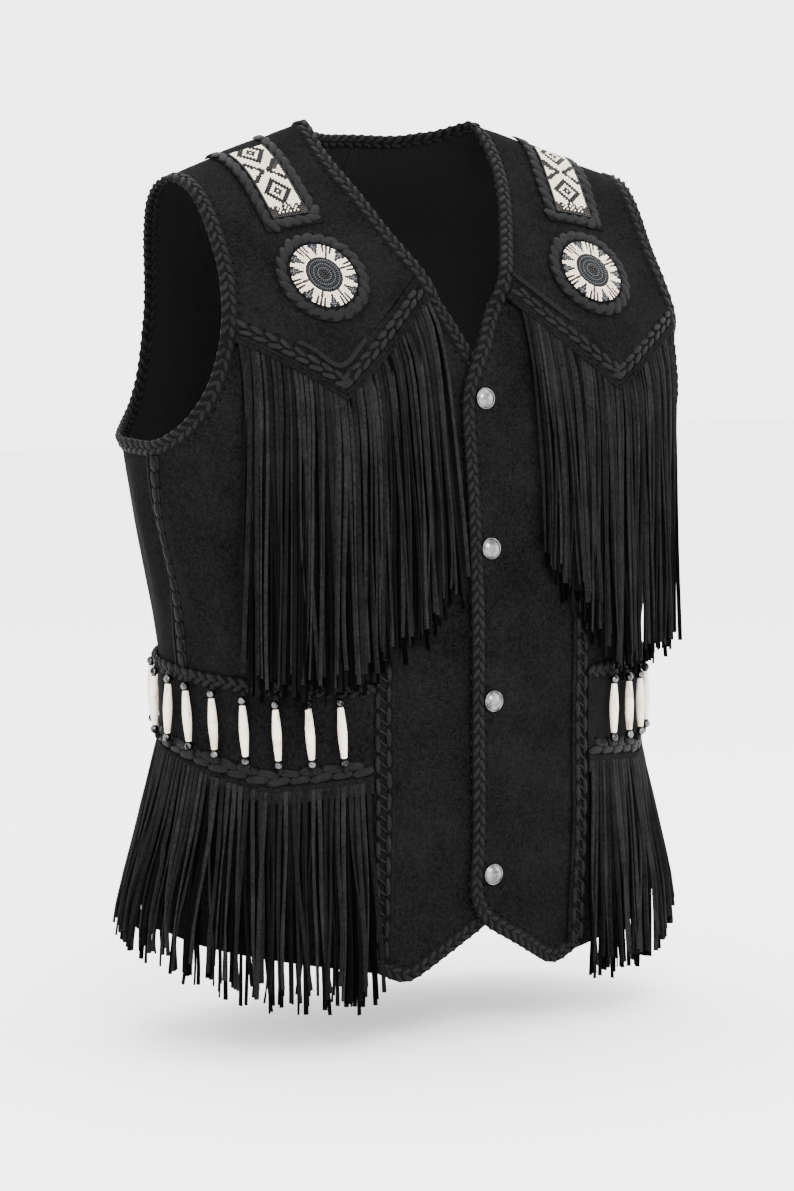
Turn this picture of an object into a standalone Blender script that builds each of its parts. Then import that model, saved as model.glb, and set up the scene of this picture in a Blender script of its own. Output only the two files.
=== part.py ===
"""A fringed western vest of black suede, filled out as worn, with nothing inside it.

+X is the wearer's left, the front faces -Y and +Z is up. The origin is on the mid-plane, level with
the points where the shoulders meet the neck. Every cloth piece is a patch laid on one torso form, and
what lies on the cloth is laid on the same form and moved out. Sizes are in metres.
"""

import bmesh
import bpy
import numpy as np
from mathutils import Matrix, Vector

# Suede, seams and laced edges
CLOTH = 0.0020
SEAM_GAP = 0.0003
LACE_WIDTH = 0.0100
LACE_HALF_THICKNESS = 0.0021
CLEAR = 0.0005

# The torso form: a row for each ring, from below the hem up to the shoulder ridge. The last row lies
# past the ridge and only keeps the form level there. The lean is how far the shoulder's end comes
# forward.
HEIGHT, HALF_WIDTH, FRONT, BACK, WIDEST, DROOP, FRONT_SQUARE, BACK_SQUARE = range(8)
HOLLOW, FRONT_LEAN, BACK_LEAN = range(8, 11)
RINGS = np.array((
    (-0.680, 0.224, -0.128, 0.112, -0.018, 0.00, 2.35, 2.15, 0.0000, 0.0000, 0.0000),
    (-0.600, 0.220, -0.132, 0.110, -0.018, 0.00, 2.35, 2.15, 0.0000, 0.0000, 0.0000),
    (-0.520, 0.207, -0.136, 0.103, -0.018, 0.00, 2.35, 2.15, 0.0000, 0.0000, 0.0000),
    (-0.440, 0.202, -0.136, 0.097, -0.018, 0.00, 2.35, 2.15, 0.0000, 0.0000, 0.0000),
    (-0.360, 0.212, -0.138, 0.099, -0.018, 0.00, 2.40, 2.10, 0.0040, 0.0000, 0.0000),
    (-0.290, 0.226, -0.141, 0.106, -0.018, 0.00, 2.50, 2.10, 0.0110, 0.0000, 0.0000),
    (-0.235, 0.234, -0.141, 0.112, -0.018, 0.00, 2.60, 2.20, 0.0180, 0.0000, 0.0000),
    (-0.180, 0.238, -0.134, 0.112, -0.016, 0.12, 2.70, 2.40, 0.0190, 0.0000, 0.0000),
    (-0.130, 0.240, -0.115, 0.104, -0.013, 0.35, 2.80, 2.60, 0.0150, 0.0039, 0.0000),
    (-0.085, 0.242, -0.082, 0.085, -0.009, 0.62, 2.80, 2.75, 0.0072, 0.0162, 0.0000),
    (-0.045, 0.244, -0.047, 0.055, -0.005, 0.85, 2.80, 2.80, -0.0010, 0.0273, -0.0030),
    (-0.014, 0.246, -0.022, 0.026, 0.000, 0.97, 2.80, 2.80, 0.0060, 0.0265, 0.0010),
    (0.000, 0.247, 0.000, 0.000, 0.000, 1.00, 2.80, 2.80, 0.0000, 0.0135, 0.0135),
    (-0.014, 0.246, 0.022, -0.026, 0.000, 0.97, 2.80, 2.80, -0.0060, 0.0010, 0.0265),
))
RIDGE = len(RINGS) - 2
NECK_X = 0.075
SHOULDER_SLOPE = 0.340
SHOULDER_ROUND = 0.030
HOLLOW_HALF_WIDTH = 0.150
LEAN_FROM, LEAN_WIDTH, LEAN_POWER = 0.085, 0.115, 1.2

# How finely the form is tabulated to find lengths along its rings
TABLE_LEVELS_PER_RING = 16
TABLE_TURNS = 200


def smooth(knots, values, at):
    """A cubic through a table's rows, with slopes from the rows on either side."""
    knots = np.asarray(knots, float)
    values = np.asarray(values, float)
    at = np.clip(np.asarray(at, float), knots[0], knots[-1])
    slopes = np.gradient(values, knots, axis=0)
    low = np.clip(np.searchsorted(knots, at, side="right") - 1, 0, len(knots) - 2)
    span = knots[low + 1] - knots[low]
    part = (at - knots[low]) / span
    if values.ndim > 1:
        part = part[..., None]
        span = span[..., None]
    rise = part * part * (3 - 2 * part)
    start = part * (1 - part) ** 2 * span * slopes[low]
    end = part * part * (part - 1) * span * slopes[low + 1]
    return (1 - rise) * values[low] + rise * values[low + 1] + start + end


def bump(distance):
    """1 at zero, falling smoothly to 0 at one."""
    return np.clip(1 - np.square(distance), 0, 1) ** 2


def ramp(start, end, value):
    """0 before start, 1 past end, smooth between."""
    part = np.clip((value - start) / (end - start), 0, 1)
    return part * part * (3 - 2 * part)


def unit(vectors):
    return vectors / np.linalg.norm(vectors, axis=-1, keepdims=True)


def shoulder_fall(x):
    """How far the shoulder line has come down at x from the mid-plane."""
    round_x = np.sqrt(np.square(x) + SHOULDER_ROUND**2)
    return SHOULDER_SLOPE * (round_x - np.hypot(NECK_X, SHOULDER_ROUND))


def form(level, turn):
    """A point of the torso: level counts rings, turn goes from 0, centre front, to 1, centre back."""
    ring = smooth(np.arange(len(RINGS)), RINGS, level)
    ahead = np.cos(np.pi * turn)
    aside = np.sin(np.pi * turn)
    in_front = ahead > 0
    power = 2 / np.where(in_front, ring[..., FRONT_SQUARE], ring[..., BACK_SQUARE])
    x = ring[..., HALF_WIDTH] * np.sign(aside) * np.abs(aside) ** power
    depth = np.where(in_front, ring[..., FRONT], ring[..., BACK]) - ring[..., WIDEST]
    y = ring[..., WIDEST] + depth * np.abs(ahead) ** power
    y = y + np.where(in_front, ring[..., HOLLOW] * bump(x / HOLLOW_HALF_WIDTH), 0)
    lean = np.where(in_front, ring[..., FRONT_LEAN], ring[..., BACK_LEAN])
    y = y - lean * (np.maximum(np.abs(x) - LEAN_FROM, 0) / LEAN_WIDTH) ** LEAN_POWER
    z = ring[..., HEIGHT] - ring[..., DROOP] * shoulder_fall(x)
    return np.stack([x, y, z], -1)


def tabulate_form():
    """For rows of levels, the share of the half girth that each turn has reached."""
    levels = np.linspace(0, RIDGE, RIDGE * TABLE_LEVELS_PER_RING + 1)
    turns = np.linspace(0, 1, TABLE_TURNS + 1)
    points = form(levels[:, None], turns[None, :])
    steps = np.linalg.norm(np.diff(points, axis=1), axis=-1)
    reached = np.concatenate([np.zeros((len(levels), 1)), np.cumsum(steps, axis=1)], axis=1)
    return levels, turns, reached / reached[:, -1:], reached[:, -1]


LEVELS, TURNS, SHARES, HALF_GIRTHS = tabulate_form()


def shares_at(level):
    row = level * TABLE_LEVELS_PER_RING
    low = min(int(row), len(LEVELS) - 2)
    part = row - low
    return (1 - part) * SHARES[low] + part * SHARES[low + 1]


def turn_at(level, share):
    level, share = np.broadcast_arrays(level, share)
    turns = np.empty(level.shape)
    for spot in np.ndindex(level.shape):
        reached = np.interp(abs(share[spot]), shares_at(level[spot]), TURNS)
        turns[spot] = np.sign(share[spot]) * reached
    return turns


# A place is (level, share). A level past the ridge comes down the back, with the share then
# counted from the centre back, so a piece may cross the shoulder without a break.
def skin(place):
    """The form's points at places."""
    place = np.asarray(place, float)
    level, share = place[..., 0], place[..., 1]
    past = level > RIDGE
    level = np.where(past, 2 * RIDGE - level, level)
    share = np.where(past, 1 - share, share)
    return form(level, turn_at(level, share))


UP_STEP = np.array((0.01, 0.0))
ROUND_STEP = np.array((0.0, 0.001))


def upward(place):
    return (skin(place + UP_STEP) - skin(place - UP_STEP)) / (2 * UP_STEP[0])


def roundward(place):
    return (skin(place + ROUND_STEP) - skin(place - ROUND_STEP)) / (2 * ROUND_STEP[1])


def outward(place):
    """The form's outward normals at places."""
    return unit(np.cross(roundward(place), upward(place)))


def slide(place, move):
    """Places moved along the form by about the vectors given."""
    place = np.array(place, float)
    target = skin(place) + move
    for _ in range(3):
        rest = target - skin(place)
        up, across = upward(place), roundward(place)
        uu, aa, ua = (up * up).sum(-1), (across * across).sum(-1), (up * across).sum(-1)
        ru, ra = (rest * up).sum(-1), (rest * across).sum(-1)
        scale = uu * aa - ua * ua
        place = place + np.stack([(ru * aa - ra * ua) / scale, (ra * uu - ru * ua) / scale], -1)
    return place


def locate(x, z):
    """The place on the front at x and height z."""
    rings = smooth(np.arange(len(RINGS)), RINGS, LEVELS)
    level = np.interp(z, rings[:, HEIGHT] - rings[:, DROOP] * shoulder_fall(x), LEVELS)
    return at_level(x, level)


def at_level(x, level):
    """The place at x on a level, which may be past the ridge."""
    height = 2 * RIDGE - level if level > RIDGE else level
    ring = smooth(np.arange(len(RINGS)), RINGS, height)
    squareness = ring[BACK_SQUARE] if level > RIDGE else ring[FRONT_SQUARE]
    turn = np.arcsin(min(1, abs(x) / ring[HALF_WIDTH]) ** (squareness / 2)) / np.pi
    if level > RIDGE:
        turn = 1 - turn
    share = np.interp(turn, TURNS, shares_at(height))
    if level > RIDGE:
        share = 1 - share
    return np.array((level, np.copysign(share, x) if x else share))


def at_share(share, height, back=False):
    """The place with a share of the half girth from the centre front, at a height."""
    heights = form(LEVELS, turn_at(LEVELS, share))[:, 2]
    level = np.interp(height, heights, LEVELS)
    if back:
        return np.array((2 * RIDGE - level, 1 - share))
    return np.array((level, share))


def line(start, end, count):
    """Places evenly from start to end, count of them."""
    return np.linspace(start, end, count)


def inset(edge, width):
    """Places a width inside an edge that has its cloth on the left, with mitred corners."""
    points, normals = skin(edge), outward(edge)
    runs = unit(np.diff(points, axis=0))
    inward = unit(np.cross(normals[:-1] + normals[1:], runs))
    first = np.concatenate([inward[:1], inward])
    second = np.concatenate([inward, inward[-1:]])
    middle = (first + second) / 2
    mitred = middle / np.square(middle).sum(-1, keepdims=True)
    return slide(edge, mitred * width)


def patch(left, right, bottom, top):
    """A grid of places between four lines: rows run from bottom to top, columns left to right."""
    def parts(one, other):
        runs = [np.linalg.norm(np.diff(skin(side), axis=0), axis=1) for side in (one, other)]
        reached = [np.concatenate([[0], np.cumsum(run)]) / run.sum() for run in runs]
        return (reached[0] + reached[1]) / 2
    v = parts(left, right)[:, None, None]
    u = parts(bottom, top)[None, :, None]
    sides = (1 - u) * left[:, None] + u * right[:, None]
    ends = (1 - v) * bottom[None] + v * top[None]
    low = (1 - u) * bottom[0] + u * bottom[-1]
    high = (1 - u) * top[0] + u * top[-1]
    return sides + ends - ((1 - v) * low + v * high)


# The opening edge of each half, from the centre back over the shoulder and down to the hem. Widths
# are out from the mid-plane: below the neckline each front crosses it, to button over or under.
BACK_NECK_DROP = 1.45
YOKE_BACK_LEVEL = RIDGE + 1.0
EDGE_X = -0.0175
NECKLINE = np.array((
    (-0.230, EDGE_X),
    (-0.210, -0.0172),
    (-0.194, -0.0122),
    (-0.180, -0.0042),
    (-0.165, 0.0050),
    (-0.150, 0.0132),
    (-0.130, 0.0260),
    (-0.110, 0.0373),
    (-0.090, 0.0475),
    (-0.070, 0.0569),
    (-0.050, 0.0655),
    (-0.035, 0.0715),
    (-0.020, 0.0752),
    (0.000, NECK_X),
))
NECK_HEIGHTS = (-0.005, -0.017, -0.036, -0.060, -0.086, -0.1115, -0.1140, -0.1290)
FRONT_HEIGHTS = (-0.147, -0.164, -0.179, -0.193, -0.208, -0.225)
STRAIGHT_EDGE_TOP = -0.250
STRAIGHT_EDGE_ROWS = 12
HEM_FRONT = -0.608
HEM_FRONT_SLOPE = -0.575
HEM_POINT_X = 0.069
PRINCESS_X = 0.091
PRINCESS_HEM = -0.636
CORNER_ROUND = 0.0135
HEM_COLUMNS = (0.022, 0.046, HEM_POINT_X, PRINCESS_X)


def front_edge_x(height):
    return float(smooth(NECKLINE[:, 0], NECKLINE[:, 1], height))


def hem_height(x):
    if x <= HEM_POINT_X:
        return HEM_FRONT + HEM_FRONT_SLOPE * x
    point = HEM_FRONT + HEM_FRONT_SLOPE * HEM_POINT_X
    return point + (PRINCESS_HEM - point) * (x - HEM_POINT_X) / (PRINCESS_X - HEM_POINT_X)


def opening_edge():
    """The true edge's places, and the index of each turning point along it."""
    seam_angle = np.arcsin((YOKE_BACK_LEVEL - RIDGE) / BACK_NECK_DROP)
    angles = np.concatenate([np.linspace(np.pi / 2, seam_angle, 4), seam_angle * np.array((2, 1, 0)) / 3])
    places = [at_level(NECK_X * np.cos(a), RIDGE + BACK_NECK_DROP * np.sin(a)) for a in angles]
    index = {"yoke_back": 3, "ridge": 6}
    places += [locate(front_edge_x(z), z) for z in NECK_HEIGHTS]
    index["yoke_end"] = len(places) - 1
    index["lap"] = index["yoke_end"] - 1
    places += [locate(front_edge_x(z), z) for z in FRONT_HEIGHTS]
    corner = hem_height(EDGE_X)
    for z in np.linspace(STRAIGHT_EDGE_TOP, corner + CORNER_ROUND, STRAIGHT_EDGE_ROWS):
        places.append(locate(EDGE_X, z))
    index["corner"] = len(places)
    places.append(locate(EDGE_X + 0.3 * CORNER_ROUND, corner + 0.1 * CORNER_ROUND))
    places.append(locate(EDGE_X + CORNER_ROUND, hem_height(EDGE_X + CORNER_ROUND)))
    places += [locate(x, hem_height(x)) for x in HEM_COLUMNS]
    return np.array(places), index


def cloth_edge(edge):
    """The cloth stops inside the lacing; at the seam it stops straight above the edge."""
    inner = inset(edge, LACE_WIDTH + SEAM_GAP)
    slope = (PRINCESS_HEM - hem_height(HEM_POINT_X)) / (PRINCESS_X - HEM_POINT_X)
    rise = (LACE_WIDTH + SEAM_GAP) * np.hypot(1, slope)
    inner[-1] = locate(PRINCESS_X, PRINCESS_HEM + rise)
    return inner


# The armhole's true edge: share of the half girth and height, from the side seam up the front to
# the ridge, then down the back and round to the side seam again
SIDE_TURN = 0.475
ARMHOLE_BOTTOM = -0.2368
ARMHOLE_FRONT = (
    (0.449, -0.2325),
    (0.429, -0.2270),
    (0.410, -0.2190),
    (0.394, -0.2095),
    (0.380, -0.1985),
    (0.369, -0.1860),
    (0.361, -0.1740),
    (0.354, -0.1600),
    (0.3495, -0.1455),
    (0.3490, -0.1430),
    (0.3472, -0.1220),
    (0.3500, -0.0980),
    (0.3600, -0.0735),
    (0.3770, -0.0545),
    (0.3960, -0.0458),
)
ARMHOLE_RIDGE_X = 0.205
ARMHOLE_BACK = (
    (0.595, -0.0455),
    (0.608, -0.0480),
    (0.620, -0.0520),
    (0.643, -0.0640),
    (0.664, -0.0800),
    (0.686, -0.1010),
    (0.703, -0.1240),
    (0.711, -0.1480),
    (0.707, -0.1730),
    (0.694, -0.1950),
    (0.668, -0.2125),
    (0.632, -0.2245),
    (0.595, -0.2310),
    (0.555, -0.2345),
    (0.505, -0.2364),
)
ARM_YOKE_END, ARM_LAP, ARM_RIDGE, ARM_YOKE_BACK = 8, 9, 16, 19


def at_side(height):
    """The place on the side seam at a height."""
    level = np.interp(height, RINGS[:RIDGE + 1, HEIGHT], np.arange(RIDGE + 1))
    return np.array((level, np.interp(SIDE_TURN, TURNS, shares_at(level))))


def over_back(places):
    """The same places counted over the ridge, from the centre back."""
    return np.stack([2 * RIDGE - places[..., 0], 1 - places[..., 1]], -1)


def armhole_edge():
    places = [at_side(ARMHOLE_BOTTOM)]
    places += [at_share(share, height) for share, height in ARMHOLE_FRONT]
    places.append(at_level(ARMHOLE_RIDGE_X, RIDGE))
    places += [at_share(share, height, back=True) for share, height in ARMHOLE_BACK]
    return np.array(places)


def armhole_cloth_edge(edge):
    """The cloth's edge inside the lacing, all the way round."""
    around = np.concatenate([over_back(edge[-1:]), edge, over_back(edge[:1])])
    return inset(around, LACE_WIDTH + SEAM_GAP)[1:-1]


# The yoke: its lower edge runs from the neckline to a point and up to the armhole
YOKE_POINT = (0.124, -0.205)
YOKE_COLUMNS_TO_POINT = 4
YOKE_COLUMNS_TO_ARM = 4
YOKE_CLOTH = 0.0018
YOKE_EDGE_LIFT = 0.0044
YOKE_RIM, YOKE_RIM_ROWS = 0.0006, 2
YOKE_SETTLE_FROM, YOKE_SETTLE_TO = 0.0165, 0.0650

# The fronts run up under the yoke, and the lacing beside the yoke's edge rises with it
LAP_AT_SEAM = -0.157
LAP_AT_POINT = -0.183
LAP_RISE, LAP_RISE_REACH = 0.0022, 0.045


def yoke_lower_edge(neck, arm):
    """Places along the yoke's lower edge, straight on either side of the point."""
    point = locate(*YOKE_POINT)
    first = line(neck, point, YOKE_COLUMNS_TO_POINT + 1)
    return np.concatenate([first[:-1], line(point, arm, YOKE_COLUMNS_TO_ARM + 1)])


def lap_rise(points, lap):
    """How far the lacing rises near the height of the lap, which is a point's index, on the front."""
    rise = LAP_RISE * bump((points[:, 2] - points[lap, 2]) / LAP_RISE_REACH)
    return np.where(points[:, 1] < 0, rise, 0)


def yoke_lift(distance):
    """How far the yoke's outer face stands off the form, by distance above its lower edge."""
    return YOKE_EDGE_LIFT * (1 - ramp(YOKE_SETTLE_FROM, YOKE_SETTLE_TO, distance))


# The hem at the side seam and at the centre back, and the columns from princess to side seam
SIDE_HEM = -0.605
CENTRE_BACK_HEM = -0.610
SIDE_COLUMNS = 6

# The left front buttons over the right one
LAP_OVER = 0.0046
LAP_OVER_FULL_X, LAP_OVER_END_X = 0.020, 0.070
LAP_OVER_TOP, LAP_OVER_FULL = -0.145, -0.174


def overlap(points, half):
    """How far the left front is lifted where it lies over the right one."""
    if half == "right":
        return np.zeros(points.shape[:-1])
    across = 1 - ramp(LAP_OVER_FULL_X, LAP_OVER_END_X, points[..., 0])
    down = ramp(LAP_OVER_TOP, LAP_OVER_FULL, points[..., 2])
    return np.where(points[..., 1] < 0, LAP_OVER * across * down, 0)


def finish(name, colour, roughness, metallic=0.0):
    material = bpy.data.materials.new(name)
    material.use_nodes = True
    shader = material.node_tree.nodes["Principled BSDF"]
    shader.inputs["Base Color"].default_value = (*colour, 1)
    shader.inputs["Roughness"].default_value = roughness
    shader.inputs["Metallic"].default_value = metallic
    return material


def build(name, vertices, faces, half, material):
    """A closed piece from its points and faces; the right half is the left one mirrored."""
    vertices = np.array(vertices, float)
    if half == "right":
        vertices = vertices * (-1, 1, 1)
    mesh = bpy.data.meshes.new(name)
    mesh.materials.append(material)
    mesh.from_pydata(vertices.tolist(), [], [list(map(int, face)) for face in faces])
    shaped = bmesh.new()
    shaped.from_mesh(mesh)
    bmesh.ops.recalc_face_normals(shaped, faces=shaped.faces)
    shaped.to_mesh(mesh)
    shaped.free()
    bpy.data.collections["western_vest"].objects.link(bpy.data.objects.new(name, mesh))


def draw_in(points):
    """Move a grid's rim in by half a seam gap, so that two pieces stay apart at a seam."""
    drawn = points.copy()
    for rim, inside in ((0, 1), (-1, -2)):
        drawn[rim] += unit(points[inside] - points[rim]) * SEAM_GAP / 2
        drawn[:, rim] += unit(points[:, inside] - points[:, rim]) * SEAM_GAP / 2
    return drawn


def wall(name, outer, inner, half, material):
    """A cloth wall between two grids of points."""
    rows, columns = outer.shape[:2]
    count = rows * columns
    number = np.arange(count).reshape(rows, columns)
    faces = []
    for shift in (0, count):
        for r in range(rows - 1):
            for c in range(columns - 1):
                face = [number[r, c], number[r, c + 1], number[r + 1, c + 1], number[r + 1, c]]
                faces.append([corner + shift for corner in face])
    rim = list(number[0, :]) + list(number[1:, -1]) + list(number[-1, -2::-1])
    rim += list(number[-2:0:-1, 0])
    for start, end in zip(rim, rim[1:] + rim[:1]):
        faces.append([start, end, end + count, start + count])
    vertices = np.concatenate([outer.reshape(-1, 3), inner.reshape(-1, 3)])
    build(name, vertices, faces, half, material)


def loft(name, sections, half, material, closed=False):
    """A solid through a row of sections, each a loop of points."""
    sections = np.array(sections)
    count, corners = sections.shape[:2]
    faces = []
    for s in range(count if closed else count - 1):
        following = (s + 1) % count
        for c in range(corners):
            d = (c + 1) % corners
            here, there = s * corners, following * corners
            faces.append([here + c, here + d, there + d, there + c])
    if not closed:
        faces.append(range(corners))
        faces.append(range((count - 1) * corners, count * corners))
    build(name, sections.reshape(-1, 3), faces, half, material)


def trim(sections, at_start=True, at_end=True):
    """Shorten a row of sections by half a seam gap at its ends."""
    sections = np.array(sections)
    if at_start:
        sections[0] += unit(sections[1] - sections[0]) * SEAM_GAP / 2
    if at_end:
        sections[-1] += unit(sections[-2] - sections[-1]) * SEAM_GAP / 2
    return sections


def lace_sections(inner, outer, middle):
    """Sections of the lacing that wraps a cloth's edge, from its inner line to the true edge."""
    normals = outward(inner)
    near, far = skin(inner), skin(outer)
    near = near + unit(far - near) * SEAM_GAP + normals * middle[:, None]
    far = far + normals * middle[:, None]
    centre = (near + far) / 2
    thick = normals * LACE_HALF_THICKNESS
    return np.stack([
        near + 0.7 * thick, centre + thick, far + 0.55 * thick,
        far - 0.55 * thick, centre - thick, near - 0.7 * thick,
    ], 1)


# Straps laid over the princess and side seams
PRINCESS_STRAP_HALF, PRINCESS_STRAP_HEIGHT = 0.0080, 0.0028
PRINCESS_STRAP_TOP = -0.228
SIDE_STRAP_HALF, SIDE_STRAP_HEIGHT = 0.0048, 0.0024
STRAP_END_GAP = 0.0015


def strap_sections(places, half_width, height, half):
    """A flat-topped strap laid along a line of places."""
    across = unit(roundward(places))
    outline = ((-1.0, CLEAR), (-0.6, height), (0.6, height), (1.0, CLEAR), (0.0, CLEAR))
    loops = []
    for reach, lift in outline:
        side = slide(places, across * reach * half_width)
        points = skin(side)
        loops.append(points + outward(side) * (lift + overlap(points, half))[:, None])
    return np.stack(loops, 1)


# Waist band: the height of its edges by share of the half girth, from the princess seam to the back
BAND_START_X = 0.0995
BAND_MIDDLE = -0.450
BAND_TOP = ((0.17, -0.417), (0.35, -0.413), (0.476, -0.406), (0.60, -0.399), (1.0, -0.396))
BAND_BOTTOM = ((0.17, -0.488), (0.34, -0.496), (0.476, -0.479), (0.60, -0.468), (1.0, -0.464))
BAND_CLEAR, BAND_CLOTH_TOP = 0.0012, 0.0026
BAND_TUCK = 0.010
BAND_TUCK_LIFT = 0.0023
LOWER_BRAID, LOWER_BRAID_TOP = 0.0140, 0.0048
UPPER_BRAID, UPPER_BRAID_TOP = 0.0090, 0.0034


def read_off(table, at):
    """A value read off a table of pairs, straight between its rows."""
    knots, values = zip(*table)
    return np.interp(at, knots, values)


def on_panel(panel, column, height):
    """The place at a height on a panel's column, which may be between two, counted from the front."""
    low = min(int(column), panel.shape[1] - 2)
    found = []
    for c in (low, low + 1):
        heights = skin(panel[:, c])[:, 2]
        found.append([np.interp(height, heights, panel[:, c, k]) for k in (0, 1)])
    place = found[0] + (column - low) * (np.array(found[1]) - found[0])
    return over_back(place) if place[0] > RIDGE else place


def band_section(panel, column):
    """The band's outline across its width at a panel's column, and its lower edge's place."""
    share = on_panel(panel, column, BAND_MIDDLE)[1]
    bottom, top = read_off(BAND_BOTTOM, share), read_off(BAND_TOP, share)
    outline = (
        (bottom, BAND_TUCK_LIFT), (bottom, LOWER_BRAID_TOP),
        (bottom + LOWER_BRAID - 0.0010, LOWER_BRAID_TOP), (bottom + LOWER_BRAID, BAND_CLOTH_TOP),
        (top - UPPER_BRAID - 0.0008, BAND_CLOTH_TOP), (top - UPPER_BRAID, UPPER_BRAID_TOP),
        (top, UPPER_BRAID_TOP - 0.0008), (top, BAND_CLEAR), ((bottom + top) / 2, BAND_CLEAR),
        (bottom + 1.3 * BAND_TUCK, BAND_CLEAR), (bottom + BAND_TUCK, BAND_TUCK_LIFT),
    )
    places = np.array([on_panel(panel, column, height) for height, _ in outline])
    lifts = np.array([lift for _, lift in outline])
    return skin(places) + outward(places) * lifts[:, None], places[0]


# Fringe: strands cut from a narrow strip that is caught under a yoke or a band
STRIP_LOW, STRIP_HIGH = 0.0009, 0.0016
STRIP_DEPTH = 0.0070
STRIP_UNDER = 0.0010
STRAND_THICKNESS = 0.0014
SWAY = 0.0008
YOKE_STRANDS = 36
YOKE_STRAND_WIDTH = 0.0034
YOKE_STRAND_CLEAR = 0.0056
YOKE_STRAND_LENGTH = ((0.0, 0.214), (0.45, 0.218), (0.6, 0.227), (1.0, 0.186))
YOKE_STRAND_LEAN = 0.007
YOKE_STRAND_PARTS = (0.20, 0.55, 1.0)
WAIST_STRANDS = 74
WAIST_STRAND_WIDTH = 0.0042
WAIST_STRAND_PARTS = (0.40, 1.0)
WAIST_STRAND_LENGTH = ((0.17, 0.177), (0.34, 0.163), (0.476, 0.151), (0.6, 0.154), (1.0, 0.160))
WAIST_TIP_CLEAR = ((0.17, 0.006), (0.34, 0.011), (0.476, 0.018), (0.7, 0.014), (1.0, 0.011))
WAIST_FLARE_POWER = 0.8


def strip_lines(edge, rise, count, start, end):
    """The strip's top line, root line and thickness vectors, straight between the edge's places.

    Also where along the edge each strand's root lies.
    """
    low, high = slide(edge, rise * STRIP_UNDER), slide(edge, rise * (STRIP_UNDER + STRIP_DEPTH))
    normals = outward(low)
    roots = skin(low) + normals * STRIP_HIGH
    top = skin(high) + outward(high) * STRIP_HIGH
    reached = np.concatenate([[0], np.cumsum(np.linalg.norm(np.diff(roots, axis=0), axis=1))])
    spots = np.interp(np.linspace(start, reached[-1] - end, count + 1), reached, np.arange(len(edge)))

    def between(values):
        return np.stack([np.interp(spots, np.arange(len(edge)), values[:, k]) for k in range(3)], 1)

    return between(top), between(roots), unit(between(normals)) * (STRIP_HIGH - STRIP_LOW), spots


def fringe(name, top, roots, depths, hang, half, material):
    """Strands fused into a strip. Each strand hangs through the centres that hang gives for its root."""
    count = len(top)
    vertices = list(top) + list(top - depths) + list(roots) + list(roots - depths)
    faces = []
    for i in range(count - 1):
        faces.append([i, i + 1, 2 * count + i + 1, 2 * count + i])
        faces.append([count + i, count + i + 1, 3 * count + i + 1, 3 * count + i])
        faces.append([i, i + 1, count + i + 1, count + i])
        above = [2 * count + i, 2 * count + i + 1, 3 * count + i + 1, 3 * count + i]
        centres, width = hang(i, (roots[i] + roots[i + 1]) / 2)
        facing = unit(depths[i] * (1, 1, 0))
        across = np.cross((0, 0, 1), facing)
        across = across * np.sign(across @ (roots[i + 1] - roots[i]))
        wide, deep = across * width / 2, facing * STRAND_THICKNESS / 2
        for centre in centres:
            start = len(vertices)
            front, behind = centre + deep, centre - deep
            vertices += [front - wide, front + wide, behind + wide, behind - wide]
            ring = list(range(start, start + 4))
            for k in range(4):
                faces.append([above[k], above[(k + 1) % 4], ring[(k + 1) % 4], ring[k]])
            above = ring
        faces.append(above)
    for end in (0, count - 1):
        faces.append([end, count + end, 3 * count + end, 2 * count + end])
    build(name, vertices, faces, half, material)


def yoke_fringe(half, lower_edge, material):
    """The strip follows the yoke's lower edge, and the strands hang straight, clear of the chest."""
    normals = outward(lower_edge)
    along = unit(np.gradient(skin(lower_edge), axis=0))
    rise = unit(np.cross(normals, along))
    top, roots, depths, _ = strip_lines(lower_edge, rise, YOKE_STRANDS, 0.0035, 0.0025)

    def hang(i, root):
        part = (i + 0.5) / YOKE_STRANDS
        length = read_off(YOKE_STRAND_LENGTH, part) + 0.003 * np.sin(2.3 * i)
        centres = []
        for drop in length * np.array(YOKE_STRAND_PARTS):
            passed = np.array([locate(root[0], root[2] - d) for d in np.linspace(0, drop, 6)])
            chest = skin(passed) + outward(passed) * YOKE_STRAND_CLEAR
            sway = SWAY * np.sin(1.1 * i + 9 * drop) * drop / length
            lean = YOKE_STRAND_LEAN * (1 - part) * drop / length
            x, y, z = root[0] + sway - lean, chest[1:, 1].min(), root[2] - drop
            centres.append(np.array((x, y, z)))
        return centres, YOKE_STRAND_WIDTH

    fringe("yoke_fringe_" + half, top, roots, depths, hang, half, material)


def waist_fringe(half, bottom_places, material):
    """The strip lies under the band's lower edge, and the strands flare with the hips."""
    rise = unit(upward(bottom_places))
    top, roots, depths, spots = strip_lines(bottom_places, rise, WAIST_STRANDS, 0.0012, 0.0016)
    middles = (spots[:-1] + spots[1:]) / 2
    shares = np.interp(middles, np.arange(len(bottom_places)), bottom_places[:, 1])

    def hang(i, root):
        share = shares[i]
        length = read_off(WAIST_STRAND_LENGTH, share)
        length += 0.004 * np.sin(2.1 * i) + 0.002 * np.sin(5.3 * i)
        tip_clear = read_off(WAIST_TIP_CLEAR, share)
        step = unit(roots[i + 1] - roots[i])
        centres = []
        for part in WAIST_STRAND_PARTS:
            place = at_share(share, root[2] - part * length)
            centre = skin(place) + outward(place) * (0.002 + tip_clear * part**WAIST_FLARE_POWER)
            centres.append(centre + step * SWAY * part * np.sin(0.9 * i + 3 * part))
        return centres, WAIST_STRAND_WIDTH

    fringe("waist_fringe_" + half, top, roots, depths, hang, half, material)


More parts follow.
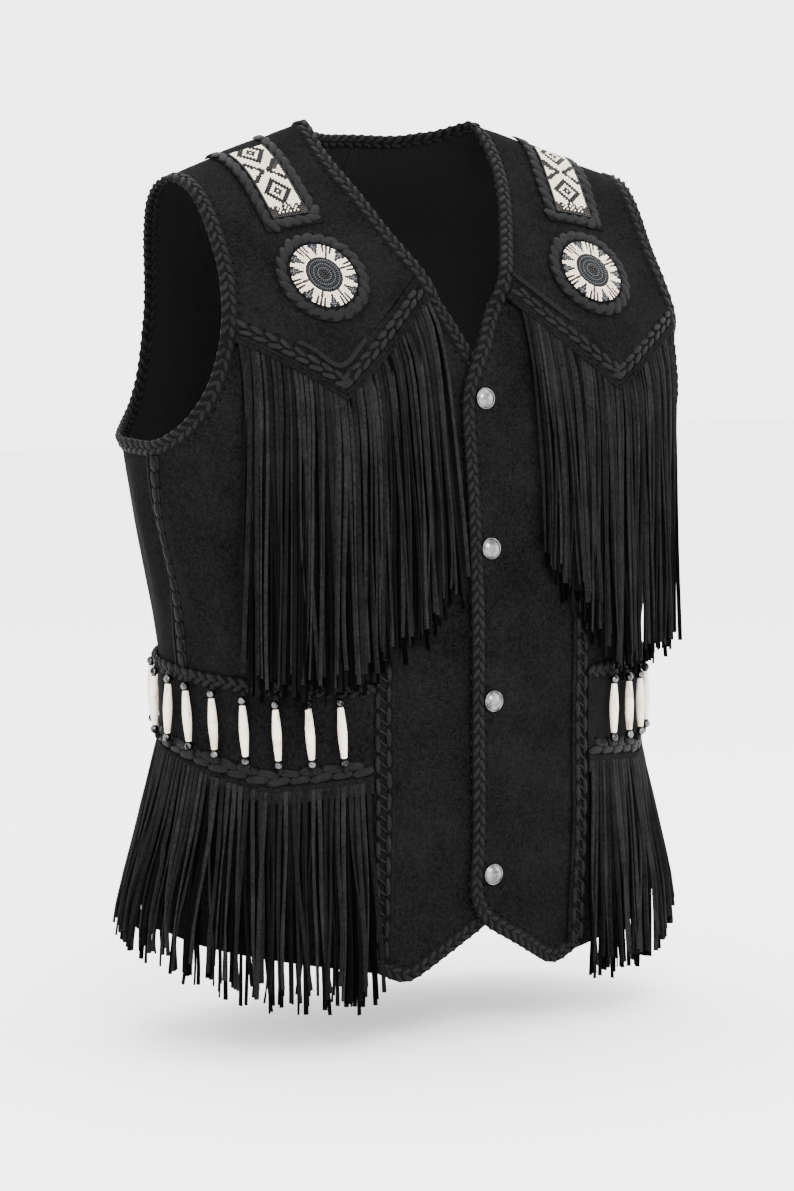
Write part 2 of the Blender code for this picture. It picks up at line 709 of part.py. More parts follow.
# Rosettes and bead strips, sewn on the yokes
ROSETTE_AT = (0.1225, -0.1155)
ROSETTE_SECTORS = 18
ROSETTE_PROFILE = (
    (0.0120, 0.0036),
    (0.0136, 0.0026),
    (0.0282, 0.0026),
    (0.0292, 0.0038),
    (0.0375, 0.0034),
    (0.0388, 0.0008),
)
ROSETTE_CROWN = 0.0042
TRIM_BASE = 0.0007
BEADS_TOP_X, BEADS_TOP_LEVEL = 0.1405, RIDGE - 0.12
BEADS_BOTTOM_X, BEADS_BOTTOM = 0.1286, -0.0800
BEADS_ROWS = 6
BEADS_HALF, BEADS_BORDER_TOP = 0.0262, 0.0031
FIELD_HALF, FIELD_TOP = 0.0162, 0.0020
BORDER_SLOPE = 0.0010


def above_yoke(places, lift):
    """Points a lift above the yoke's outer face."""
    points = skin(places)
    edge = np.interp(points[..., 0], (0.042, YOKE_POINT[0], 0.200), (-0.134, YOKE_POINT[1], -0.1585))
    distance = np.where(places[..., 0] < RIDGE, points[..., 2] - edge, 1.0)
    return points + outward(places) * (yoke_lift(distance) + lift)[..., None]


def rosette(half, material):
    centre = locate(*ROSETTE_AT)
    up = unit(upward(centre))
    across = np.cross(up, outward(centre))
    angles = np.linspace(0, 2 * np.pi, ROSETTE_SECTORS, endpoint=False)
    ways = np.cos(angles)[:, None] * across + np.sin(angles)[:, None] * up
    start = np.repeat(centre[None], ROSETTE_SECTORS, 0)
    vertices = list(above_yoke(centre[None], np.array([ROSETTE_CROWN])))
    for radius, lift in ROSETTE_PROFILE:
        vertices += list(above_yoke(slide(start, ways * radius), np.full(ROSETTE_SECTORS, lift)))
    inner_radius = ROSETTE_PROFILE[-1][0] / 2
    vertices += list(above_yoke(slide(start, ways * inner_radius), np.full(ROSETTE_SECTORS, TRIM_BASE)))
    vertices += list(above_yoke(centre[None], np.array([TRIM_BASE])))
    rings = len(ROSETTE_PROFILE) + 1
    faces = []
    for s in range(ROSETTE_SECTORS):
        t = (s + 1) % ROSETTE_SECTORS
        faces.append([0, 1 + s, 1 + t])
        for r in range(rings - 1):
            one, two = 1 + r * ROSETTE_SECTORS, 1 + (r + 1) * ROSETTE_SECTORS
            faces.append([one + s, two + s, two + t, one + t])
        last = 1 + (rings - 1) * ROSETTE_SECTORS
        faces.append([last + s, len(vertices) - 1, last + t])
    build("rosette_" + half, vertices, faces, half, material)


def bead_strip(half, material):
    """A strip from the shoulder ridge down, with a raised border on three sides."""
    top, bottom = at_level(BEADS_TOP_X, BEADS_TOP_LEVEL), locate(BEADS_BOTTOM_X, BEADS_BOTTOM)
    centres = line(bottom, top, BEADS_ROWS + 1)
    border = (BEADS_HALF - FIELD_HALF) / np.linalg.norm(skin(centres[1]) - skin(centres[0]))
    extra = [centres[0] + (centres[1] - centres[0]) * border * k for k in (0.95, 1.05)]
    centres = np.array([centres[0], *extra, *centres[1:]])
    across = unit(roundward(centres))
    sections = []
    for row, (centre, way) in enumerate(zip(centres, across)):
        field = BEADS_BORDER_TOP if row < 2 else FIELD_TOP
        rim = ((BEADS_HALF, TRIM_BASE), (BEADS_HALF, BEADS_BORDER_TOP))
        rim += ((FIELD_HALF + BORDER_SLOPE, BEADS_BORDER_TOP), (FIELD_HALF, field))
        outline = [(-out, lift) for out, lift in rim] + list(rim[::-1]) + [(0.0, TRIM_BASE)]
        start = np.repeat(centre[None], len(outline), 0)
        places = slide(start, np.array([way * out for out, _ in outline]))
        sections.append(above_yoke(places, np.array([lift for _, lift in outline])))
    loft("bead_strip_" + half, sections, half, material)


# Snaps down the left front, and bones round the waist band: profiles of radius and height
SNAPS = ((0.0038, -0.2085), (0.0012, -0.320), (0.0015, -0.435), (0.0025, -0.567))
SNAP_PROFILE = (
    (0.0, 0.0044), (0.0040, 0.0040), (0.0070, 0.0026),
    (0.0082, 0.0010), (0.0082, 0.0), (0.0, 0.0),
)
SNAP_STEPS = 14
BONE_PROFILE = (
    (0.0, 0.0250), (0.0030, 0.0222), (0.0020, 0.0192), (0.0044, 0.0),
    (0.0020, -0.0192), (0.0030, -0.0222), (0.0, -0.0250),
)
BONE_STEPS = 7
BONE_LIFT = 0.0083
BONE_FIRST = 0.1245
BONE_SPACING = 0.0231
BONES_SPACED_AS_FRONT = 8
BONES_IN_ALL = 29


def turned_mesh(name, profile, material):
    mesh = bpy.data.meshes.new(name)
    mesh.materials.append(material)
    edges = [(k, k + 1) for k in range(len(profile) - 1)]
    mesh.from_pydata([(radius, 0, height) for radius, height in profile], edges, [])
    return mesh


def add_turned(name, mesh, steps, origin, axis, side):
    """A turned piece, its axis along the vector given."""
    piece = bpy.data.objects.new(name, mesh)
    bpy.data.collections["western_vest"].objects.link(piece)
    third = np.cross(axis, side)
    turn = Matrix((side, third, axis)).transposed().to_4x4()
    piece.matrix_world = Matrix.Translation(Vector(origin)) @ turn
    screw = piece.modifiers.new("turn", "SCREW")
    screw.axis = "Z"
    screw.steps = screw.render_steps = steps
    screw.use_merge_vertices = True
    screw.merge_threshold = 0.00001
    return piece


def add_snaps(material):
    mesh = turned_mesh("snap", SNAP_PROFILE, material)
    for number, (x, height) in enumerate(SNAPS, 1):
        place = locate(x, height)
        normal, up = outward(place), upward(place)
        point = skin(place)
        lift = float(overlap(point, "left")) + CLEAR
        side = unit(np.cross(up, normal))
        add_turned(f"snap_{number}", mesh, SNAP_STEPS, point + normal * lift, normal, side)


def bone_distances():
    """Distances from the centre front round the waist: as seen in front, then evenly round the back."""
    waist = float(np.interp(-0.45, RINGS[:RIDGE + 1, HEIGHT], np.arange(RIDGE + 1)))
    half_girth = np.interp(waist, LEVELS, HALF_GIRTHS)
    front = BONE_FIRST + BONE_SPACING * np.arange(BONES_SPACED_AS_FRONT)
    behind = (BONES_IN_ALL - 2 * BONES_SPACED_AS_FRONT) // 2 + 1
    back = np.linspace(front[-1], half_girth, behind + 1)[1:]
    return np.concatenate([front, back]) / half_girth


def add_bones(material):
    mesh = turned_mesh("bone", BONE_PROFILE, material)
    spots = []
    for share in bone_distances():
        bottom, top = read_off(BAND_BOTTOM, share), read_off(BAND_TOP, share)
        height = (bottom + LOWER_BRAID + top - UPPER_BRAID) / 2
        place = at_share(min(share, 1.0), height)
        spots.append((skin(place), outward(place), unit(upward(place))))
    ordered = [(-1, spot) for spot in spots] + [(1, spot) for spot in spots[-2::-1]]
    for number, (sign, (point, normal, up)) in enumerate(ordered, 1):
        mirror = np.array((sign, 1, 1))
        origin = (point + normal * BONE_LIFT) * mirror
        axis, out = up * mirror, normal * mirror
        side = unit(np.cross(axis, out))
        add_turned(f"bone_{number:02d}", mesh, BONE_STEPS, origin, axis, side)


def start_scene():
    for thing in list(bpy.data.objects):
        bpy.data.objects.remove(thing, do_unlink=True)
    bpy.context.scene.collection.children.link(bpy.data.collections.new("western_vest"))


def add_panel(name, places, half, material):
    """A panel that lies on the form."""
    points, normals = skin(places), outward(places)
    outer = points + normals * overlap(points, half)[..., None]
    wall(name, draw_in(outer), draw_in(outer - normals * CLOTH), half, material)


def add_yoke(half, places, material):
    """A yoke stands off the form at its lower edge, over the fringe, and settles on to it above."""
    points, normals = skin(places), outward(places)
    steps = np.linalg.norm(np.diff(points, axis=0), axis=-1)
    distance = np.concatenate([np.zeros((1, points.shape[1])), np.cumsum(steps, axis=0)])
    lift = yoke_lift(distance)
    rim = np.zeros_like(lift)
    rim[:YOKE_RIM_ROWS] = YOKE_RIM
    outer = draw_in(points + normals * (lift + rim)[..., None])
    inner = draw_in(points + normals * (lift - YOKE_CLOTH)[..., None])
    wall("yoke_" + half, outer, inner, half, material)


def add_fronts(half, edge, at, arm, suede):
    """The front panels on either side of the princess seam; their seams' places are given back."""
    opening = edge[at["lap"]:at["corner"] + 1][::-1]
    seam = np.array([locate(PRINCESS_X, z) for z in np.linspace(PRINCESS_HEM, LAP_AT_SEAM, len(opening))])
    laced_seam = np.concatenate([edge[-1:], seam[1:]])
    hem = edge[at["corner"]:]
    top = line(opening[-1], seam[-1], len(hem))
    add_panel("front_centre_" + half, patch(opening, laced_seam, hem, top), half, suede)

    rows_below_arm = len(opening) - ARM_LAP
    side_top = skin(arm[0])[2]
    side_seam = np.array([at_side(z) for z in np.linspace(SIDE_HEM, side_top, rows_below_arm)])
    side_seam[-1] = arm[0]
    side = np.concatenate([side_seam, arm[1:ARM_LAP + 1]])
    hem = line(seam[0], side_seam[0], SIDE_COLUMNS + 1)
    point = locate(YOKE_POINT[0], LAP_AT_POINT)
    to_point = line(seam[-1], point, SIDE_COLUMNS // 3 + 1)
    top = np.concatenate([to_point[:-1], line(point, side[-1], SIDE_COLUMNS + 2 - len(to_point))])
    panel = patch(seam, side, hem, top)
    add_panel("front_side_" + half, panel, half, suede)
    return panel, seam, side_seam


def add_yoke_and_back(half, edge, at, arm, side_seam, suede):
    """The yoke over the shoulder and the back panel that joins it behind."""
    lower = yoke_lower_edge(edge[at["yoke_end"]], arm[ARM_YOKE_END])
    neck = edge[at["yoke_back"]:at["yoke_end"] + 1][::-1]
    armhole = arm[ARM_YOKE_END:ARM_YOKE_BACK + 1]
    back_seam = line(neck[-1], armhole[-1], len(lower))
    add_yoke(half, patch(neck, armhole, lower, back_seam), suede)

    side = np.concatenate([over_back(side_seam), arm[:ARM_YOKE_BACK - 1:-1]])
    top = np.concatenate([edge[:at["yoke_back"]], back_seam])
    heights = np.linspace(CENTRE_BACK_HEM, skin(edge[0])[2], len(side))
    centre = np.array([at_share(1.0, z, back=True) for z in heights])
    centre[-1] = edge[0]
    panel = patch(centre, side, line(centre[0], side[0], len(top)), top)
    add_panel("back_" + half, panel, half, suede)
    return panel, lower


def add_edge_lacing(half, edge, true_edge, at, arm, true_arm, lace):
    """Lacing round the opening edge, from the shoulder to the princess seam, and round the armhole."""
    rise = overlap(skin(edge), half) + lap_rise(skin(true_edge), at["lap"]) - CLOTH / 2
    front = slice(at["ridge"], None)
    sections = lace_sections(edge[front], true_edge[front], rise[front])
    loft("lacing_edge_" + half, trim(sections), half, lace)
    sections = lace_sections(arm, true_arm, lap_rise(skin(true_arm), ARM_LAP) - CLOTH / 2)
    loft("lacing_armhole_" + half, sections, half, lace, closed=True)


def add_seam_straps(half, edge, seam, side_seam, lace):
    """The laced strap down the princess seam, and the braid down the side seam to the band."""
    heights = skin(seam)[1:, 2]
    heights = heights[heights < PRINCESS_STRAP_TOP - STRAP_END_GAP]
    heights = [skin(edge[-1])[2] + STRAP_END_GAP, *heights, PRINCESS_STRAP_TOP]
    places = np.array([locate(PRINCESS_X, z) for z in heights])
    sections = strap_sections(places, PRINCESS_STRAP_HALF, PRINCESS_STRAP_HEIGHT, half)
    loft("lacing_princess_" + half, sections, half, lace)

    start = read_off(BAND_TOP, side_seam[-1][1]) + STRAP_END_GAP
    heights = skin(side_seam)[:-1, 2]
    heights = [start, *heights[heights > start + STRAP_END_GAP], skin(side_seam[-1])[2] - STRAP_END_GAP]
    places = np.array([at_side(z) for z in heights])
    sections = strap_sections(places, SIDE_STRAP_HALF, SIDE_STRAP_HEIGHT, half)
    loft("lacing_side_" + half, sections, half, lace)


def add_band(half, side_panel, back_panel, suede, lace):
    """The waist band from the princess seam to the centre back, and the fringe under it."""
    first_column = skin(on_panel(side_panel, 1, BAND_MIDDLE))[0]
    start = (BAND_START_X - PRINCESS_X) / (first_column - PRINCESS_X)
    stations = [(side_panel, start)] + [(side_panel, column) for column in range(1, SIDE_COLUMNS + 1)]
    stations += [(back_panel, column) for column in range(back_panel.shape[1] - 2, -1, -1)]
    sections, lower_edge = zip(*[band_section(panel, column) for panel, column in stations])
    loft("band_" + half, trim(sections, at_start=False), half, lace)
    waist_fringe(half, np.array(lower_edge), suede)


def add_back_neck(edge, true_edge, at, lace):
    """The lacing of the back neck runs from shoulder to shoulder."""
    back = slice(0, at["ridge"] + 1)
    middle = np.full(at["ridge"] + 1, -CLOTH / 2)
    sections = lace_sections(edge[back], true_edge[back], middle)
    mirrored = sections[:0:-1] * (-1, 1, 1)
    loft("lacing_back_neck", trim(np.concatenate([mirrored, sections])), "left", lace)


def model_vest():
    start_scene()
    suede = finish("black_suede", (0.025, 0.025, 0.026), 0.95)
    lace = finish("black_lacing", (0.030, 0.030, 0.031), 0.80)
    beads = finish("cream_beads", (0.80, 0.74, 0.62), 0.35)
    bone = finish("bone", (0.80, 0.71, 0.55), 0.40)
    nickel = finish("nickel", (0.75, 0.75, 0.76), 0.20, 1.0)
    true_edge, at = opening_edge()
    edge = cloth_edge(true_edge)
    true_arm = armhole_edge()
    arm = armhole_cloth_edge(true_arm)
    for half in ("left", "right"):
        side_panel, seam, side_seam = add_fronts(half, edge, at, arm, suede)
        back_panel, lower = add_yoke_and_back(half, edge, at, arm, side_seam, suede)
        add_edge_lacing(half, edge, true_edge, at, arm, true_arm, lace)
        add_seam_straps(half, edge, seam, side_seam, lace)
        add_band(half, side_panel, back_panel, suede, lace)
        yoke_fringe(half, lower, suede)
        rosette(half, beads)
        bead_strip(half, beads)
    add_back_neck(edge, true_edge, at, lace)
    add_snaps(nickel)
    add_bones(bone)


model_vest()
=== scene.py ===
"""A fringed western vest of black suede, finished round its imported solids.

Metres, +Z up, +X to the wearer's left, and the front faces -Y.
"""

import math

import bmesh
import bpy
import numpy as np
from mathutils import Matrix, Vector
from mathutils.bvhtree import BVHTree


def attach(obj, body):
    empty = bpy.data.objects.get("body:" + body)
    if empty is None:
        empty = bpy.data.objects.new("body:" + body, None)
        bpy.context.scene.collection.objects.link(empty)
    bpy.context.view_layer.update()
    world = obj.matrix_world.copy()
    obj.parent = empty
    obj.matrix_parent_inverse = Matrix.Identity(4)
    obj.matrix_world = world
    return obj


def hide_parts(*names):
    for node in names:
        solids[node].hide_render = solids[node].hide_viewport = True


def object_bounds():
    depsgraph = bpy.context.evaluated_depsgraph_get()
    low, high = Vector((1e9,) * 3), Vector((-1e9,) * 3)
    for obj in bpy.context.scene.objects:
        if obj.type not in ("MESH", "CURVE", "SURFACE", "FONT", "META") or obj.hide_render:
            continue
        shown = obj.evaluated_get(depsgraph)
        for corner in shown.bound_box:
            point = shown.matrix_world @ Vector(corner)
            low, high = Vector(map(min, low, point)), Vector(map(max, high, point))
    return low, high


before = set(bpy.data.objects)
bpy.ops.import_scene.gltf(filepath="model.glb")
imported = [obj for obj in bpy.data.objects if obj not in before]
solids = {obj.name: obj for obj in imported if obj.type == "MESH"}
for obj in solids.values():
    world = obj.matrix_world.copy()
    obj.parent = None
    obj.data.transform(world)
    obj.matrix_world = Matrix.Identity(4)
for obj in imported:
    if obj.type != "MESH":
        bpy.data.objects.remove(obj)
cad_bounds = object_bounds()


# Suede panels and yokes
# The fronts, side fronts, backs and yokes are cut from black suede about 2 mm thick, with its nap
# outside and a thin black twill lining glued inside. Each is the smooth sheet that runs through the
# points of its solid, with the creases that a filled out vest has under its arms and at its waist.
SUEDE_THICKNESS = 0.0018
SHEET_LEVELS = {"front_centre": 3, "front_side": 3, "back": 2, "yoke": 3}
SHEET_FITS = 10
PANEL_BEND = 0.9
CORNER_TURN = math.radians(32)
BODY_MIDDLE = Vector((0.0, -0.01, -0.30))
WELD = 0.00002
CUT_EASE = 1.01
SHARP_CLOTH = 50
BROAD_WAVE, FINE_WAVE = 0.0007, 0.0004

# Each half of the vest and the sign of its x
HALVES = {"left": 1, "right": -1}

# Creases: one end, the other end, half width and height of the fold, on the wearer's right or left
CREASES = (
    ((-0.232, -0.040, -0.245), (-0.206, -0.055, -0.400), 0.010, 0.0034),
    ((-0.228, -0.065, -0.250), (-0.205, -0.070, -0.380), 0.009, -0.0022),
    ((-0.236, 0.000, -0.250), (-0.212, -0.012, -0.400), 0.011, 0.0038),
    ((-0.237, -0.020, -0.246), (-0.211, -0.034, -0.390), 0.008, -0.0030),
    ((-0.228, 0.035, -0.246), (-0.205, 0.025, -0.380), 0.012, 0.0030),
    ((-0.215, -0.085, -0.235), (-0.196, -0.085, -0.330), 0.012, 0.0022),
    ((0.232, -0.035, -0.245), (0.207, -0.050, -0.395), 0.010, 0.0030),
    ((0.230, -0.062, -0.250), (0.206, -0.068, -0.370), 0.009, -0.0020),
    ((0.237, 0.006, -0.250), (0.212, -0.006, -0.400), 0.012, 0.0036),
    ((0.236, 0.030, -0.246), (0.208, 0.020, -0.370), 0.010, -0.0026),
    ((-0.110, 0.085, -0.385), (-0.035, 0.092, -0.405), 0.016, 0.0022),
    ((0.060, 0.088, -0.372), (0.150, 0.060, -0.388), 0.015, 0.0020),
    ((-0.060, 0.108, -0.200), (-0.130, 0.085, -0.250), 0.022, 0.0026),
    ((0.070, 0.107, -0.190), (0.140, 0.080, -0.250), 0.022, 0.0026),
    ((-0.030, -0.130, -0.340), (-0.075, -0.128, -0.380), 0.020, -0.0016),
    ((0.035, -0.130, -0.395), (0.085, -0.120, -0.370), 0.022, -0.0016),
)


def unit(vectors):
    vectors = np.asarray(vectors, float)
    return vectors / np.maximum(np.linalg.norm(vectors, axis=-1, keepdims=True), 1e-12)


def fold_height(points):
    """How far the cloth stands out of its smooth form at each point."""
    height = np.zeros(len(points))
    for start, end, reach, rise in CREASES:
        start, end = np.array(start), np.array(end)
        run = end - start
        along = np.clip((points - start) @ run / (run @ run), 0, 1)
        away = np.linalg.norm(points - start - along[:, None] * run, axis=1)
        height += rise * np.sin(np.pi * np.clip(along, 0.04, 0.96)) * np.exp(-((away / reach) ** 2))
    x, y, z = points.T
    height += BROAD_WAVE * np.sin(31 * x + 17 * z) * np.sin(23 * z - 29 * y + 1.0)
    height += FINE_WAVE * np.sin(67 * x - 41 * z + 53 * y)
    return height


def outer_triangles(name):
    """The points and triangles of a cloth solid's outward side."""
    side = bmesh.new()
    side.from_mesh(solids[name].data)
    bmesh.ops.remove_doubles(side, verts=side.verts, dist=WELD)
    left = set(side.faces)
    best, best_score = [], 0.0
    while left:
        patch, rim = [], [left.pop()]
        while rim:
            face = rim.pop()
            patch.append(face)
            for other in {f for edge in face.edges for f in edge.link_faces}:
                if other in left and face.normal.angle(other.normal) < PANEL_BEND:
                    left.remove(other)
                    rim.append(other)
        score = sum(f.calc_area() * f.normal.dot(f.calc_center_median() - BODY_MIDDLE) for f in patch)
        if score > best_score:
            best, best_score = patch, score
    used = sorted({v for f in best for v in f.verts}, key=lambda v: v.index)
    number = {vertex: i for i, vertex in enumerate(used)}
    points = [vertex.co.copy() for vertex in used]
    triangles = [tuple(number[v] for v in f.verts) for f in best]
    side.free()
    return points, triangles


def rim_walk(faces):
    """The vertices round an open sheet's rim, in order, with the cloth on the left."""
    steps = {pair for face in faces for pair in zip(face, (*face[1:], face[0]))}
    follow = {start: end for start, end in steps if (end, start) not in steps}
    walk = [min(follow)]
    while follow[walk[-1]] != walk[0]:
        walk.append(follow[walk[-1]])
    return walk


def woven_rows(triangles):
    """The rows of the grid that a panel was cut into, found from its triangles."""
    apex = {}
    for a, b, c in triangles:
        apex[a, b], apex[b, c], apex[c, a] = c, a, b
    walk = rim_walk(triangles)
    count = len(walk)
    for start in range(count):
        for columns in range(2, count // 2 - 1):
            steps, rest = divmod(len(triangles), 2 * columns)
            if rest or steps != count // 2 - columns:
                continue
            rows = [[walk[(start + i) % count] for i in range(columns + 1)]]
            for step in range(1, steps + 1):
                row = [walk[(start - step) % count]]
                for low, following in zip(rows[-1], rows[-1][1:]):
                    top = apex.get((low, following))
                    row.append(apex.get((row[-1], following)) if top == row[-1] else top)
                if row[-1] != walk[(start + columns + step) % count]:
                    break
                rows.append(row)
            else:
                return rows
    raise ValueError("the panel is not a grid")


def cut_size(grid):
    """The longest row and column of a grid of points, eased: the piece that the panel is cut from."""
    lengths = [np.linalg.norm(np.diff(grid, axis=axis), axis=2).sum(axis).max() for axis in (1, 0)]
    return tuple(round(CUT_EASE * float(length), 3) for length in lengths)


def outer_side(name):
    """The outward side of a cloth solid as an open sheet of four-sided faces, and its cut size."""
    points, triangles = outer_triangles(name)
    rows = woven_rows(triangles)
    faces = []
    for low, high in zip(rows, rows[1:]):
        faces += [(low[i], low[i + 1], high[i + 1], high[i]) for i in range(len(low) - 1)]
    mesh = bpy.data.meshes.new(name + "_sheet")
    mesh.from_pydata(points, [], faces)
    return mesh, cut_size([[points[v] for v in row] for row in rows])


def coordinates(mesh):
    points = np.empty(len(mesh.vertices) * 3, np.float32)
    mesh.vertices.foreach_get("co", points)
    return points.reshape(-1, 3).astype(float)


def vertex_normals(mesh):
    return np.array([vertex.normal for vertex in mesh.vertices])


def corner_vertices(mesh):
    walk = rim_walk([tuple(face.vertices) for face in mesh.polygons])
    points = coordinates(mesh)[walk]
    before, after = unit(points - np.roll(points, 1, 0)), unit(np.roll(points, -1, 0) - points)
    turn = np.arccos(np.clip((before * after).sum(1), -1, 1))
    return [v for v, angle in zip(walk, turn) if angle > CORNER_TURN]


def link(name, data):
    """A mesh, light or camera as an object in the scene."""
    made = bpy.data.objects.new(name, data)
    bpy.context.scene.collection.objects.link(made)
    return made


def set_all(thing, settings):
    for key, value in settings.items():
        setattr(thing, key, value)


def modified(mesh, kind, **settings):
    """A mesh as an object with one modifier."""
    piece = link("raw", mesh)
    modifier = piece.modifiers.new("shape", kind)
    set_all(modifier, settings)
    return piece, modifier


def evaluated(piece):
    deps = bpy.context.evaluated_depsgraph_get()
    return bpy.data.meshes.new_from_object(piece.evaluated_get(deps))


def taken(piece):
    """The mesh that a modified object comes to, and the object gone."""
    mesh = evaluated(piece)
    bpy.data.objects.remove(piece)
    return mesh


def shaded(mesh, degrees):
    mesh.shade_smooth()
    mesh.set_sharp_from_angle(angle=math.radians(degrees))
    return mesh


def smooth_sheet(name, levels):
    """A fine smooth sheet through the points of a cloth solid's outer side."""
    mesh, flat = outer_side(name)
    corners = corner_vertices(mesh)
    crease = mesh.attributes.new("crease_vert", "FLOAT", "POINT")
    for corner in corners:
        crease.data[corner].value = 1.0
    soft = {"levels": levels, "render_levels": levels, "boundary_smooth": "PRESERVE_CORNERS"}
    piece, _ = modified(mesh, "SUBSURF", **soft)
    aim = coordinates(mesh)
    cage = aim.copy()
    for _ in range(SHEET_FITS):
        fine = evaluated(piece)
        cage += aim - coordinates(fine)[:len(aim)]
        mesh.vertices.foreach_set("co", cage.ravel())
        mesh.update()
        bpy.data.meshes.remove(fine)
    fine = taken(piece)
    points = coordinates(fine)
    points += vertex_normals(fine) * fold_height(points)[:, None]
    fine.vertices.foreach_set("co", points.ravel())
    fine.update()
    return fine, corners, flat


def rim_runs(mesh, corners):
    """The rim's stretches from corner to corner: points, outward normals and the way off the cloth."""
    walk = rim_walk([tuple(face.vertices) for face in mesh.polygons])
    start = walk.index(corners[0])
    walk = walk[start:] + walk[:start]
    points, normals = coordinates(mesh), vertex_normals(mesh)
    cuts = [i for i, v in enumerate(walk) if v in corners] + [len(walk)]
    runs = []
    for first, last in zip(cuts, cuts[1:]):
        stretch = (walk + walk[:1])[first:last + 1]
        line, facing = points[stretch], normals[stretch]
        along = unit(np.gradient(line, axis=0))
        runs.append({"line": line, "facing": facing, "off": unit(np.cross(along, facing))})
    return runs


class Cloth:
    """The fine sheet of each panel, its rim and a way to find the nearest point on it."""

    def __init__(self, panel, half):
        self.name = f"{panel}_{half}"
        self.mesh, corners, self.flat = smooth_sheet(self.name, SHEET_LEVELS[panel])
        self.runs = rim_runs(self.mesh, corners)
        faces = [tuple(f.vertices) for f in self.mesh.polygons]
        self.tree = BVHTree.FromPolygons([v.co for v in self.mesh.vertices], faces)

    def near(self, points, lift=0.0):
        """The nearest points on the sheet, moved out by a lift, and their outward normals."""
        found = [self.tree.find_nearest(Vector(point))[:2] for point in points]
        places, facing = np.array(found).swapaxes(0, 1)
        return places + facing * lift, facing

    def ray(self, start, way):
        """The point and normal where a ray meets the sheet, or nothing, and how far that is."""
        place, normal, _, distance = self.tree.ray_cast(Vector(start), Vector(way))
        return place, normal, distance


cloth = {(panel, half): Cloth(panel, half) for half in HALVES for panel in SHEET_LEVELS}


def new_group(name, ins, outs, kind="ShaderNodeTree"):
    """An empty node group with its sockets: each is a name, a socket type and a default value."""
    group = bpy.data.node_groups.new(name, kind)
    for direction, sockets in (("INPUT", ins), ("OUTPUT", outs)):
        for label, socket_type, value in sockets:
            socket = group.interface.new_socket(label, in_out=direction, socket_type=socket_type)
            if value is not None:
                socket.default_value = value
    return group


def set_inputs(tree, made, links):
    """A node's inputs, each set to a value or linked to a socket."""
    for key, value in links.items():
        if isinstance(value, bpy.types.NodeSocket):
            tree.links.new(value, made.inputs[key])
        else:
            made.inputs[key].default_value = value


def add_node(tree, kind, links=None, **settings):
    made = tree.nodes.new(kind)
    set_all(made, settings)
    set_inputs(tree, made, links or {})
    return made


def maths(tree, operation, *values):
    return add_node(tree, "ShaderNodeMath", dict(enumerate(values)), operation=operation).outputs[0]


def ranged(tree, value, *limits):
    """A value carried from one range, low and high, to another."""
    links = {0: value, **dict(enumerate(limits, 1))}
    return add_node(tree, "ShaderNodeMapRange", links).outputs[0]


def mixed(tree, share, first, second):
    links = {0: share, 6: first, 7: second}
    return add_node(tree, "ShaderNodeMix", links, data_type="RGBA").outputs[2]


def noise(tree, place, scale, detail, roughness=0.5):
    links = {"Vector": place, "Scale": scale, "Detail": detail, "Roughness": roughness}
    return add_node(tree, "ShaderNodeTexNoise", links).outputs["Fac"]


def bump(tree, height, strength, distance):
    links = {"Height": height, "Strength": strength, "Distance": distance}
    return add_node(tree, "ShaderNodeBump", links).outputs["Normal"]


def object_place(tree, **turn):
    """Object coordinates, turned or stretched if a mapping is given."""
    place = add_node(tree, "ShaderNodeTexCoord").outputs["Object"]
    if turn:
        place = add_node(tree, "ShaderNodeMapping", {"Vector": place, **turn}).outputs[0]
    return place


FLOAT, COLOUR = "NodeSocketFloat", "NodeSocketColor"


def build_nap_group():
    """Suede's nap: brushed patches, fine mottling and short fibres."""
    ins = (
        ("Dark", COLOUR, (0.010, 0.010, 0.0105, 1)), ("Light", COLOUR, (0.030, 0.030, 0.031, 1)),
        ("Patch size", FLOAT, 0.05), ("Fibre size", FLOAT, 0.0011),
    )
    outs = (("Colour", COLOUR, None), ("Roughness", FLOAT, None), ("Height", FLOAT, None))
    group = new_group("suede nap", ins, outs)
    here = add_node(group, "NodeGroupInput").outputs
    place = object_place(group)
    middle = maths(group, "MULTIPLY", here["Fibre size"], 3.0)
    patches, fibres, mottle = (
        noise(group, place, maths(group, "DIVIDE", 1.0, size), detail, roughness)
        for size, detail, roughness in (
            (here["Patch size"], 3.0, 0.6), (here["Fibre size"], 2.0, 0.7), (middle, 4.0, 0.65),
        )
    )
    blend = maths(group, "MULTIPLY", patches, 0.34)
    blend = maths(group, "MULTIPLY_ADD", mottle, 0.56, blend)
    blend = maths(group, "MULTIPLY_ADD", fibres, 0.70, blend)
    shade = ranged(group, blend, 0.63, 0.98, 0.0, 1.0)
    add_node(group, "NodeGroupOutput", {
        "Colour": mixed(group, shade, here["Dark"], here["Light"]),
        "Roughness": ranged(group, mottle, 0.3, 0.7, 0.82, 1.0),
        "Height": maths(group, "MULTIPLY_ADD", mottle, 1.6, fibres),
    })
    return group


nap_group = build_nap_group()


def new_material(name):
    material = bpy.data.materials.new(name)
    material.use_nodes = True
    return material, material.node_tree


def finish_material(material, inputs):
    """A material with its shader's inputs set to values or linked to sockets."""
    set_inputs(material.node_tree, material.node_tree.nodes["Principled BSDF"], inputs)
    return material


def nap_node(tree, dark, light, patch, fibre):
    links = {"Dark": (*dark, 1), "Light": (*light, 1), "Patch size": patch, "Fibre size": fibre}
    return add_node(tree, "ShaderNodeGroup", links, node_tree=nap_group).outputs


